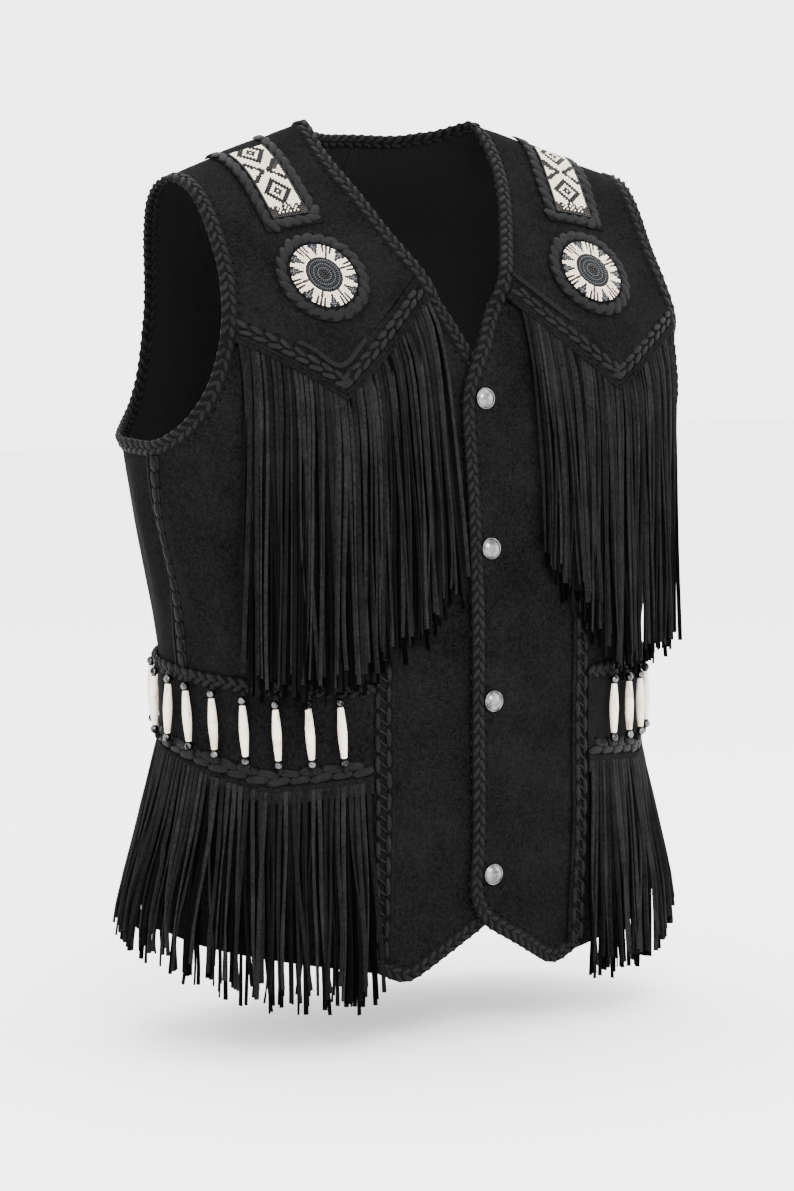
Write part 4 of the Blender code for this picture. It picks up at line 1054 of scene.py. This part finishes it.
for half, sign in HALVES.items():
    levels = [
        [(share, low + (high - low) * part) for share, low, high in zip(band_knots, band_lows, band_highs)]
        for part in np.linspace(0, 1, BAND_ROWS)
    ]
    paths = [round_line(half, heights, 0, BAND_LIFT) for heights in levels]
    grid, ways = (np.array([path[key] for path in paths]) for key in ("line", "facing"))
    sheet = keep(f"suede_band_{half}", slab(grid, ways, BAND_THICKNESS), "black_suede", f"band_{half}")
    rolled = round_line(half, BAND_BOTTOM, 0.0018, BAND_LIFT + 0.0002)
    rope_bed = round_line(half, BAND_TOP, -0.0046, BAND_LIFT - 0.0004)
    parts = [
        strap([rolled], 0.0046, 0.0026, 0.0011, suede),
        # The rope's bed is painted shade: near-black leather that shows dark between the rope's lobes.
        strap([rope_bed], 0.0098, 0.0016, 0.0006, lace_base),
    ]
    for table, rise, lift, piece, pitch, turn, phase, seed, material in (
        (BAND_BOTTOM, 0.0078, 0.0003, scale_plate, SCALE_PITCH, 8, 0.5, 41, lace),
        (BAND_BOTTOM, 0.0134, 0.0003, scale_plate, SCALE_PITCH, -8, 0.99, 41, lace),
        # These two rows of holes are near-black discs of painted shade.
        (BAND_BOTTOM, 0.0170, 0.0003, small_hole, SCALE_PITCH, 0, 0.5, 1, hole_painted_shade),
        (BAND_BOTTOM, 0.0046, 0.0003, small_hole, SCALE_PITCH, 0, 0.99, 1, hole_painted_shade),
        (BAND_TOP, -0.0026, 0.0, rope_lobe, ROPE_PITCH, sign * 36, 0.3, 42, lace),
        (BAND_TOP, -0.0066, 0.0, rope_lobe, ROPE_PITCH, sign * -36, 0.8, 42, lace),
    ):
        path = round_line(half, table, rise, BAND_LIFT + lift)
        parts.append(row(path, piece, pitch, turn, phase, seed, material))
    keep(f"band_plaits_{half}", merged(parts), "black_suede")


# Fringe
# Soft suede strips, cut side by side from a header that is caught under each yoke and each band.
# They hang freely in three layers, and many twist so that their cut edge shows.
YOKE_PITCH, WAIST_PITCH = 0.0044, 0.0047
# Strip lengths: the share of the way from the front, and the length there
YOKE_LENGTH = {
    "left": (
        (0.0, 0.198), (0.3, 0.208), (0.5, 0.226), (0.62, 0.232), (0.8, 0.243), (0.95, 0.246), (1.0, 0.236),
    ),
    "right": (
        (0.0, 0.220), (0.2, 0.230), (0.55, 0.224), (0.65, 0.236), (0.78, 0.252), (0.94, 0.262), (1.0, 0.198),
    ),
}
YOKE_START = {"left": 4, "right": 1}
WAIST_LENGTH = ((0.17, 0.177), (0.34, 0.163), (0.476, 0.151), (0.6, 0.154), (1.0, 0.160))
WAIST_TIP_CLEAR = ((0.17, 0.006), (0.34, 0.011), (0.476, 0.018), (0.7, 0.014), (1.0, 0.011))
# The yoke strips lean to the wearer's left, and where the edge slopes that way they swing out
YOKE_LEAN, YOKE_SWING, SWING_REACH = 0.008, (0.007, 0.014), 0.018
# How far the yoke strips hang off the cloth: the layer next to it, and more for each one further out
YOKE_CLEAR, LAYER_CLEAR = 0.0026, 0.0015
# Below this height the yoke strips pass in front of the waist band's plait
OVER_BAND_Z, OVER_BAND = -0.392, 0.0042
# Below this height the waist strips hang as the cloth does there
HANG_Z = -0.598
WAIST_RADIUS = 0.2
STRAND_POINTS = 12
STRAND_WIDTH, STRAND_THICKNESS = 0.0036, 0.0013
# The darkest and lightest tone in each layer, from the cloth outwards: each strip's tone differs at random,
# while painted shade darkens the layers nearer the cloth and painted light brightens the outer layer.
STRAND_TONES_AND_SHADE = ((0.02, 0.08), (0.06, 0.50), (0.55, 1.70))
STRAND_SEEDS = {"left": 101, "right": 202}

fringe_suede = suede_material(
    "fringe_suede", (0.0016, 0.0016, 0.0017), (0.0080, 0.0080, 0.0082), 0.02, 0.0009, 0.5, toned_and_shaded=True
)


def front_depth(x, height, half):
    """How far forward the chest lies at x and a height."""
    hits = [cloth[panel, half].ray((x, -1, height), (0, 1, 0))[0] for panel in ("front_centre", "front_side")]
    return min((place[1] for place in hits if place is not None), default=None)


def strand(line, facing, parts, width, layer, rng):
    """One strip, flat at its header and twisted further and further to its tip."""
    amount = rng.normal(0.0, 1.2)
    ripple = 0.35 * np.sin(parts * rng.uniform(3, 9) + rng.uniform(0, 6))
    twist = (np.clip(parts * 3.0, 0, 1) * (amount * parts**0.6 + ripple))[:, None]
    along = unit(np.gradient(line, axis=0))
    facing = unit(facing - (facing * along).sum(1)[:, None] * along)
    turned = facing * np.cos(twist) + np.cross(along, facing) * np.sin(twist)
    girth = np.full(len(line), width)
    return {"line": line, "facing": turned, "girth": girth, "tone": rng.uniform(*STRAND_TONES_AND_SHADE[layer])}


def yoke_strands(half, layer, rng):
    edge = yoke_edge[half]
    line, facing, off = even_steps(edge["line"], [edge[key] for key in ("line", "facing", "off")], YOKE_PITCH)
    if abs(line[0, 0]) > abs(line[-1, 0]):
        line, facing, off = line[::-1], facing[::-1], off[::-1]
    count = len(line)
    parts = np.linspace(0, 1, STRAND_POINTS)
    ahead = YOKE_CLEAR + LAYER_CLEAR * layer
    made = []
    for i in range(YOKE_START[half], count - 1):
        share = i / count
        aside = rng.uniform(-0.0005, 0.0005) + 0.0016 * (layer % 2)
        root = line[i] + np.array((aside, 0, 0.003)) - facing[i] * (0.0034 - 0.0008 * layer)
        length = read_off(YOKE_LENGTH[half], share) * rng.uniform(0.955, 1.02) - 0.006 * layer
        lean = YOKE_LEAN * (1 - share) + rng.normal(0, 0.0045)
        wave, phase = rng.normal(0, 0.0018), rng.uniform(0, 6)
        swing = max(0.0, off[i][0]) * rng.uniform(*YOKE_SWING) * min(1.0, abs(share - 0.5) * 3)
        x = root[0] + lean * parts**1.4 + wave * np.sin(parts * 5 + phase) * parts
        x += swing * (1 - np.exp(-parts * length / SWING_REACH))
        z = root[2] - parts * length
        y = np.full(STRAND_POINTS, root[1])
        for k in range(1, STRAND_POINTS):
            found = front_depth(x[k], z[k], half)
            room = ahead + (OVER_BAND if z[k] < OVER_BAND_Z else 0.0)
            y[k] = y[k - 1] if found is None else min(y[k - 1], found - room)
        y += rng.normal(0, 0.0005)
        y[1:-1] = softened(y)
        front = np.repeat([facing[i] * (1, 1, 0)], STRAND_POINTS, 0)
        width = rng.uniform(0.74, 1.02)
        made.append(strand(np.stack([x, y, z], 1), front, parts, width, layer, rng))
    return made


def waist_strands(half, layer, rng):
    angles, shares, girth, start = waist[half]
    first = np.interp(start, angles, shares) + 0.003
    count = int(girth * (1 - first) / WAIST_PITCH)
    parts = np.linspace(0, 1, STRAND_POINTS)
    made = []
    for i in range(count):
        share = first + (i + 0.5 + rng.uniform(-0.12, 0.12) + 0.3 * (layer % 2)) * (0.992 - first) / count
        angle = np.interp(share, shares, angles)
        length = read_off(WAIST_LENGTH, share) * rng.uniform(0.95, 1.03) - 0.005 * layer
        root = read_off(BAND_BOTTOM, share) + 0.004
        clear = read_off(WAIST_TIP_CLEAR, share) * rng.uniform(0.75, 1.15)
        drift, wave, phase = rng.normal(0, 0.0045), rng.normal(0, 0.0017), rng.uniform(0, 6)
        line, facing = [], []
        for part in parts:
            side = drift * part**1.3 + wave * math.sin(part * 5 + phase) * part
            height = root - part * length
            place, normal = body_point(angle + side / WAIST_RADIUS, max(height, HANG_Z), half)
            way = unit(normal * (1, 1, 0))
            lift = 0.0008 + 0.0010 * layer + clear * (0.75 + 0.15 * layer) * part**0.8
            line.append((place[0] + way[0] * lift, place[1] + way[1] * lift, height))
            facing.append(way)
        width = rng.uniform(0.80, 1.06)
        made.append(strand(np.array(line), np.array(facing), parts, width, layer, rng))
    return made


for half in HALVES:
    under_band = round_line(half, BAND_BOTTOM, -0.0030, 0.0030)
    headers = {
        "yoke": tape(yoke_edge[half], -0.0055, -0.0030, 0.0090, 0.0010, 0.0002, fringe_suede),
        "waist": strap([under_band], 0.0120, 0.0012, 0.0004, fringe_suede),
    }
    for kind, grow in (("yoke", yoke_strands), ("waist", waist_strands)):
        rng = np.random.default_rng(STRAND_SEEDS[half])
        strands = [one for layer in range(len(STRAND_TONES_AND_SHADE)) for one in grow(half, layer, rng)]
        strips = strap(strands, STRAND_WIDTH, STRAND_THICKNESS, 0.0003, fringe_suede)
        name = f"{kind}_fringe_{half}"
        keep(f"cut_{name}", merged([strips, headers[kind]]), "black_suede", name)


# Beadwork
# Glass beads in cream, black, brown and steel are sewn in rows on patches of black suede: a strip
# with stepped diamonds down from each shoulder, and a round rosette under it. Leather leaves
# border both.
BEAD_PITCH = 0.00172
CREAM, DARK, BROWN = (0.64, 0.56, 0.45), (0.0030, 0.0026, 0.0026), (0.017, 0.0115, 0.009)
STEEL, GREY_STEEL = (0.026, 0.028, 0.031), (0.055, 0.057, 0.062)
BEAD_CUT = 0.86
BEAD_COLOURS = {"K": DARK, "B": BROWN, "C": CREAM, "G": GREY_STEEL}
ROSETTE_AT = (0.1225, -0.1155)
STRIP_TOP, STRIP_BOTTOM = (0.1405, -0.003), (0.1286, -0.0800)
BORDER_MIDDLE, STRIP_HALF, FIELD_START, FIELD_END, BORDER_START = 0.0213, 0.0262, 0.0105, 0.016, 0.0052
PATCH_LIFT, PATCH_THICKNESS, BEAD_LIFT = 0.0016, 0.0012, 0.0006
DIAMOND_ROWS, CHEVRON_ROW = (13, 36), 24.5
# The strip's lower end, from the bottom row up
STRIP_END = (
    "KKKKKKKKKKKKKKKKKKK",
    "BBBKKBKKKBKKKBKKBBB",
    "BBBKCKCKCKCKCKCKBBB",
    "KBBKKCKKKCKKKCKKBBK",
    "KKBKCKCKCKCKCKCKBKK",
    "KKCKKCCKKCKKCCKKCKK",
    "KCCCCCCCKCKCCCCCCCK",
)
HALF_COLUMNS = 9
ROSETTE_RINGS, ROSETTE_EYE, EYE_STEEL, SECTOR_TURN = 16, 9, (3, 5, 7), 0.3
ROSETTE_DOME, DOME_RADIUS, BORDER_RADIUS, HOLE_RADIUS = 0.0010, 0.0285, 0.0330, 0.0378
PATCH_TURNS, PATCH_COLUMNS, PATCH_ROWS = 48, 15, 26
PATCH_RADII = (0.0006, 0.012, 0.024, 0.031, 0.0370, 0.0384)
ROSETTE_ROUND = (
    "triangle", "triangle", "spokes", "triangle", "spokes", "triangle", "spokes",
    "triangle", "triangle", "spokes", "triangle", "spokes", "triangle", "spokes",
)
# A sector's beads from the eye outwards: five to a round, then seven
ROSETTE_CHARTS = {
    "triangle": ("CCCCC", "CCKCC", "CCKCC", "CCKGKCC", "CCKGKCC", "CKGGGKC", "CKKGKKC"),
    "spokes": ("CCBCC", "CCBCC", "CCBCC", "CKCBCKC", "CKCBCKC", "CKCKCKC", "CKCKCKC"),
}


def bead_material():
    """Glass beads whose colour each bead carries."""
    material, tree = new_material("glass_beads")
    colour = add_node(tree, "ShaderNodeAttribute", attribute_name="bead_colour").outputs["Color"]
    return finish_material(material, {"Base Color": colour, "Roughness": 0.35, "Specular IOR Level": 0.20})


def build_bead_group():
    """A bead on each point, turned to the face and the row that the point gives."""
    ins = (("Points", GEOMETRY, None), ("Piece", OBJECT, None), ("Material", MATERIAL, None))
    group = new_group("beads", ins, (("Mesh", GEOMETRY, None),), "GeometryNodeTree")
    here = add_node(group, "NodeGroupInput").outputs
    links = {0: (0.93, 0.90, 0.90), 1: (1.05, 1.08, 1.12), 8: 5}
    size = add_node(group, "FunctionNodeRandomValue", links, data_type="FLOAT_VECTOR").outputs[0]
    laid = lay_pieces(group, here, here["Points"], attribute(group, "row_way"), size)
    return close_group(group, here, laid)


glass = bead_material()
bead_group = build_bead_group()


def ball_piece(name, length, width, sides, rings):
    """A bead that is longest along X, its ends cut flat where its hole is."""
    rows = []
    for t in np.linspace(-BEAD_CUT, BEAD_CUT, rings):
        radius = width / 2 * math.sqrt(1 - t * t)
        turned = [(radius * math.cos(a), radius * math.sin(a)) for a in ring_angles(sides)]
        rows.append([(t * length / 2, *place) for place in turned])
    return pattern_piece(name, rows, sides)


seed_bead = ball_piece("seed_bead", 0.00168, 0.00184, 6, 4)
border_leaf = lace_leaf("border_leaf", 0.0156, 0.0086, 0.0013, 0.36)


def parted(spots):
    """The places and the normals of spots, in the same order or grid."""
    spots = np.array(spots)
    return spots[..., 0, :], spots[..., 1, :]


def spot_path(spots, closed=False):
    line, facing = parted(spots)
    return {"line": line, "facing": facing, "closed": closed}


def keep_beads(name, sewn, replaced):
    """Beads from their spots, the ways of their rows and their colours."""
    spots, ways, colours = zip(*sewn)
    points, facing = parted(spots)
    mesh = bpy.data.meshes.new("bead_points")
    mesh.from_pydata(points.tolist(), [], [])
    set_points(mesh, facing=facing, row_way=ways, bead_colour=colours)
    keep(name, grown_with(seed_bead, bead_group, mesh, {"Material": glass}), "cream_beads", replaced)


def strip_colour(across, up):
    """The strip's chart: columns from its middle, rows from its lower end."""
    if up < len(STRIP_END):
        return BEAD_COLOURS[STRIP_END[up][across + HALF_COLUMNS]]
    if abs(across) == HALF_COLUMNS:
        return DARK
    for centre in DIAMOND_ROWS:
        distance = abs(across) + abs(up - centre) * 0.95
        if 0.8 < distance < 2.6 or 4.6 < distance < 7.3:
            return DARK
    past = abs(across) - 1.6 - abs(up - CHEVRON_ROW) * 1.25
    if abs(past) < 1.5:
        return DARK
    filled = across < 0 and up > CHEVRON_ROW and 0 < past < 4.0
    return BROWN if filled else CREAM


def rosette_round(ring):
    """The angle and colour of each bead in one round of the rosette."""
    if ring < ROSETTE_EYE:
        around = max(1, round(2 * math.pi * (ring + 0.12)))
        turn = 0.5 * (ring % 2)
        colour = STEEL if ring in EYE_STEEL else DARK
        return [(2 * math.pi * (k + turn) / around, colour) for k in range(around)]
    beads_round = []
    for sector, kind in enumerate(ROSETTE_ROUND):
        letters = ROSETTE_CHARTS[kind][ring - ROSETTE_EYE]
        for k, letter in enumerate(letters):
            share = sector + SECTOR_TURN + (k + 0.5) / len(letters) - 0.5
            beads_round.append((2 * math.pi * share / len(ROSETTE_ROUND), BEAD_COLOURS[letter]))
    return beads_round


def sew_strip(half, sign):
    """A shoulder strip: its patch, its field of beads and its border of leaves."""
    yoke = cloth["yoke", half]
    low = yoke.ray((sign * STRIP_BOTTOM[0], -1, STRIP_BOTTOM[1]), (0, 1, 0))[0]
    high = yoke.ray((sign * STRIP_TOP[0], STRIP_TOP[1], 1), (0, 0, -1))[0]
    spine, faces = yoke.near(np.linspace(np.array(low), np.array(high), 60))
    spine, faces = even_steps(spine, (spine, faces), BEAD_PITCH)
    across = unit(np.cross(unit(np.gradient(spine, axis=0)), unit(faces))) * sign
    end = len(spine) - 1

    def spot(step, out, lift=PATCH_LIFT):
        """The place and normal beside the strip's middle line, on the yoke."""
        step = min(max(step, 0.0), float(end))
        k = min(int(step), end - 1)
        base = spine[k] + (spine[k + 1] - spine[k]) * (step - k) + across[k] * out
        point, facing = yoke.near([base], lift)
        return point[0], facing[0]

    columns = np.linspace(-STRIP_HALF, STRIP_HALF, PATCH_COLUMNS)
    grid = [[spot(step, out) for out in columns] for step in np.linspace(0, end, PATCH_ROWS)]
    patch = slab(*parted(grid), PATCH_THICKNESS)
    first = int(FIELD_START / BEAD_PITCH)
    sewn = []
    for step in range(first, end + 1 - round(FIELD_END / BEAD_PITCH)):
        for column in range(-HALF_COLUMNS, HALF_COLUMNS + 1):
            bead = spot(step, column * BEAD_PITCH, PATCH_LIFT + BEAD_LIFT)
            sewn.append((bead, across[step], strip_colour(column, step - first)))
    keep_beads(f"strip_beads_{half}", sewn, f"bead_strip_{half}")
    low_end = BORDER_START / BEAD_PITCH
    around = [spot(step, -BORDER_MIDDLE) for step in np.linspace(end, low_end, 30)]
    around += [spot(low_end, out) for out in np.linspace(-BORDER_MIDDLE, BORDER_MIDDLE, 16)[1:-1]]
    around += [spot(step, BORDER_MIDDLE) for step in np.linspace(low_end, end, 30)]
    leaves = row(spot_path(around), border_leaf, 0.0094, turn=sign * 27, seed=51)
    keep(f"strip_border_{half}", merged([patch, leaves]), "black_lacing")


def sew_rosette(half, sign):
    """A rosette: its patch, its rounds of beads, slightly domed, and its border of leaves and holes."""
    yoke = cloth["yoke", half]
    centre, facing, _ = yoke.ray((sign * ROSETTE_AT[0], -1, ROSETTE_AT[1]), (0, 1, 0))
    centre, facing = np.array(centre), unit(facing)
    side = unit(np.cross(facing, (0, 0, 1)))
    upward = np.cross(side, facing)

    def spot(radius, angle, lift=PATCH_LIFT):
        """The place and normal at a radius and an angle from the rosette's middle, on the yoke."""
        base = centre + radius * (math.cos(angle) * side + math.sin(angle) * upward)
        point, way = yoke.near([base], lift)
        return point[0], way[0]

    angles = np.linspace(0, 2 * math.pi, PATCH_TURNS, endpoint=False)
    patch = slab(*parted([[spot(radius, angle) for angle in angles] for radius in PATCH_RADII]),
                 PATCH_THICKNESS, closed=True)
    sewn = []
    for ring in range(ROSETTE_RINGS):
        radius = ring * BEAD_PITCH + 0.0002
        lift = PATCH_LIFT + BEAD_LIFT + ROSETTE_DOME * max(0.0, 1 - (radius / DOME_RADIUS) ** 2)
        for angle, colour in rosette_round(ring):
            way = -math.sin(angle) * side + math.cos(angle) * upward
            sewn.append((spot(radius, angle, lift), way, colour))
    keep_beads(f"rosette_beads_{half}", sewn, f"rosette_{half}")
    border, far_rim = (
        spot_path([spot(radius, angle) for angle in angles], closed=True)
        for radius in (BORDER_RADIUS, HOLE_RADIUS)
    )
    leaves = row(border, border_leaf, 0.0098, turn=27, seed=52)
    # The holes round the rim are near-black discs of painted shade.
    rim_holes = row(far_rim, small_hole, 0.0110, material=hole_painted_shade)
    keep(f"rosette_border_{half}", merged([patch, leaves, rim_holes]), "black_lacing")


for half, sign in HALVES.items():
    sew_strip(half, sign)
    sew_rosette(half, sign)


# Hairpipe bones
# Carved bone tubes hang upright round the waist band, each with a steel ball at either end on a
# knotted lace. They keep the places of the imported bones.
BONE_COUNT = 29
# Each turned shape is a list of radii and heights; the sleeve and knot stand at both ends
BONE_LINE = (
    (0.0019, -0.0190), (0.0023, -0.0184), (0.0029, -0.0120), (0.0034, -0.0055), (0.0036, 0.0),
    (0.0034, 0.0055), (0.0029, 0.0120), (0.0023, 0.0184), (0.0019, 0.0190),
)
SLEEVE_LINE = ((0.0018, 0.0188), (0.0021, 0.0200))
KNOT_LINE = ((0.0014, 0.0245), (0.0021, 0.0262), (0.0020, 0.0285), (0.0012, 0.0298))
KNOT_BACK = 0.0022
BALL_RADIUS, BALL_MIDDLE, BALL_RINGS, BALL_SPAN = 0.0033, 0.0225, 9, 0.46 * math.pi
BONE_LEAN = -0.085
TURNED_SIDES, LACE_SIDES, CAP_SIDES = 16, 10, 32
SHARP_TURNED = 40


def lathe(profile, origin, axis, side, sides=TURNED_SIDES):
    """Points and faces of a turned piece, closed at both ends."""
    third = np.cross(axis, side)
    points = [
        origin + axis * height + radius * (math.cos(a) * side + math.sin(a) * third)
        for radius, height in profile
        for a in ring_angles(sides)
    ]
    return points, tube_faces(len(profile), sides)


def keep_turned(name, shapes, material, slot, *replaced):
    """Several turned shapes as one piece."""
    points, faces = [], []
    for shape_points, shape_faces in shapes:
        faces += [tuple(v + len(points) for v in face) for face in shape_faces]
        points += [tuple(point) for point in shape_points]
    keep(name, solid_mesh(points, faces, material, SHARP_TURNED), slot, *replaced)


def bone_material():
    """Polished bone: warm cream with faint brown pores that run along it."""
    material, tree = new_material("carved_bone")
    place = object_place(tree)
    pores = noise(tree, object_place(tree, Scale=(1, 1, 0.18)), 420.0, 3.0)
    stain = ranged(tree, noise(tree, place, 60.0, 2.0), 0.52, 0.72)
    base = mixed(tree, stain, (0.68, 0.61, 0.51, 1), (0.42, 0.33, 0.23, 1))
    return finish_material(material, {
        "Base Color": mixed(tree, ranged(tree, pores, 0.60, 0.70), base, (0.26, 0.18, 0.11, 1)),
        "Roughness": 0.32, "Subsurface Weight": 0.10, "Subsurface Scale": 0.002,
    })


def metal_material(name, colour, rough, dull):
    """Plated metal with fine scratches that vary its polish, and duller clouds."""
    material, tree = new_material(name)
    place = object_place(tree)
    shade = ranged(tree, noise(tree, place, 170.0, 4.0), 0.38, 0.62, dull, 1.0)
    return finish_material(material, {
        "Base Color": mixed(tree, shade, (0, 0, 0, 1), (*colour, 1)), "Metallic": 1.0,
        "Roughness": ranged(tree, noise(tree, place, 900.0, 3.0), 0.3, 0.7, rough * 0.8, rough * 1.3),
    })


bone = bone_material()
steel = metal_material("steel_balls", (0.100, 0.100, 0.104), 0.10, 0.04)
nickel = metal_material("nickel_plate", (0.19, 0.19, 0.192), 0.24, 0.32)
bone_nodes = [f"bone_{number:02d}" for number in range(1, BONE_COUNT + 1)]
turns = np.linspace(-BALL_SPAN, BALL_SPAN, BALL_RINGS)
tubes, balls, ends = [], [], []
for node in bone_nodes:
    points = coordinates(solids[node].data)
    high, low = points[points[:, 2].argmax()], points[points[:, 2].argmin()]
    axis = unit(high - low)
    middle = (high + low) / 2
    out = unit(middle - np.array((0, BODY_Y, middle[2])))
    side = unit(np.cross(axis, out))
    lean = BONE_LEAN * (1 if middle[0] < 0 else -1)
    axis = unit(axis + side * lean * (1 if side[0] > 0 else -1))
    side = unit(np.cross(axis, out))
    out = np.cross(side, axis)
    tubes.append(lathe(BONE_LINE, middle, axis, side))
    for way in (1, -1):
        ball = [(BALL_RADIUS * math.cos(a), way * BALL_MIDDLE + BALL_RADIUS * math.sin(a)) for a in turns]
        balls.append(lathe(ball, middle, axis, side))
        for profile, origin in ((SLEEVE_LINE, middle), (KNOT_LINE, middle - out * KNOT_BACK)):
            profile = [(radius, way * height) for radius, height in profile][::way]
            ends.append(lathe(profile, origin, axis, side, LACE_SIDES))
keep_turned("waist_bones", tubes, bone, "bone", *bone_nodes)
keep_turned("bone_end_balls", balls, steel, "nickel")
keep_turned("bone_laces", ends, lace, "black_lacing")


# Snap caps
# Four domed nickel caps with a rolled rim are riveted down the wearer's left front.
SNAP_LINE = (
    (0.0082, -0.0012), (0.0084, 0.0004), (0.0082, 0.0013), (0.0077, 0.0017), (0.0072, 0.0015),
    (0.0066, 0.0024), (0.0052, 0.0034), (0.0036, 0.0041), (0.0018, 0.0045), (0.0003, 0.0046),
)
SNAP_LIFT = 0.0006
snap_nodes = [f"snap_{number}" for number in range(1, 5)]
caps = []
for node in snap_nodes:
    points = coordinates(solids[node].data)
    (found,), (facing,) = cloth["front_centre", "left"].near([(points.min(0) + points.max(0)) / 2])
    axis = unit(facing)
    side = unit(np.cross((0, 0, 1), axis))
    caps.append(lathe(SNAP_LINE, found + axis * SNAP_LIFT, axis, side, CAP_SIDES))
keep_turned("snap_caps", caps, nickel, "nickel", *snap_nodes)


# Studio
# A pale floor just under the fringe, a broad soft light over the camera's left shoulder, a weaker
# one from the right and a pale sky, with the camera at the photograph's angle.
FLOOR_DROP, FLOOR_REACH = 0.030, 6.0
CAMERA_AZIMUTH, CAMERA_ELEVATION = math.radians(-34.0), math.radians(5.9)
CAMERA_DISTANCE, LENS, SENSOR = 3.12, 121.0, 36.0
AIM_ALONG, AIM_HEIGHT = 0.007, -0.367
LIGHT_AIM = Vector((0.0, 0.0, -0.33))
SKY_STRENGTH = 4.4
# Each light's place, size and power
LIGHTS = {
    "key": ((-1.2, -2.4, 1.3), 1.2, 110),
    "fill": ((2.2, -1.8, 0.5), 1.8, 30),
    "top": ((0.2, 0.6, 2.2), 1.6, 60),
}

floor_mesh = bpy.data.meshes.new("floor")
floor_height = cad_bounds[0][2] - FLOOR_DROP
corners = [(x * FLOOR_REACH, y * FLOOR_REACH, floor_height) for x, y in ((-1, -1), (1, -1), (1, 1), (-1, 1))]
floor_mesh.from_pydata(corners, [], [(0, 1, 2, 3)])
paper = finish_material(new_material("white_paper")[0], {"Base Color": (0.9, 0.9, 0.9, 1), "Roughness": 0.9})
floor_mesh.materials.append(paper)
link("floor", floor_mesh)

for name, (place, breadth, power) in LIGHTS.items():
    lamp = bpy.data.lights.new(name, "AREA")
    set_all(lamp, {"shape": "DISK", "size": breadth, "energy": power})
    holder = link(name, lamp)
    holder.location = place
    holder.rotation_euler = (LIGHT_AIM - Vector(place)).to_track_quat("-Z", "Y").to_euler()

sky = bpy.data.worlds.new("studio")
sky.use_nodes = True
glow = {"Color": (1, 1, 1, 1), "Strength": SKY_STRENGTH}
set_inputs(sky.node_tree, sky.node_tree.nodes["Background"], glow)
bpy.context.scene.world = sky

lens = bpy.data.cameras.new("camera")
set_all(lens, {"lens": LENS, "sensor_width": SENSOR})
camera = link("camera", lens)
toward = Vector((
    math.sin(CAMERA_AZIMUTH) * math.cos(CAMERA_ELEVATION),
    -math.cos(CAMERA_AZIMUTH) * math.cos(CAMERA_ELEVATION),
    math.sin(CAMERA_ELEVATION),
))
along = Vector((math.cos(CAMERA_AZIMUTH), math.sin(CAMERA_AZIMUTH), 0.0))
camera.location = along * AIM_ALONG + Vector((0, 0, AIM_HEIGHT)) + toward * CAMERA_DISTANCE
camera.rotation_euler = (-toward).to_track_quat("-Z", "Y").to_euler()
bpy.context.scene.camera = camera
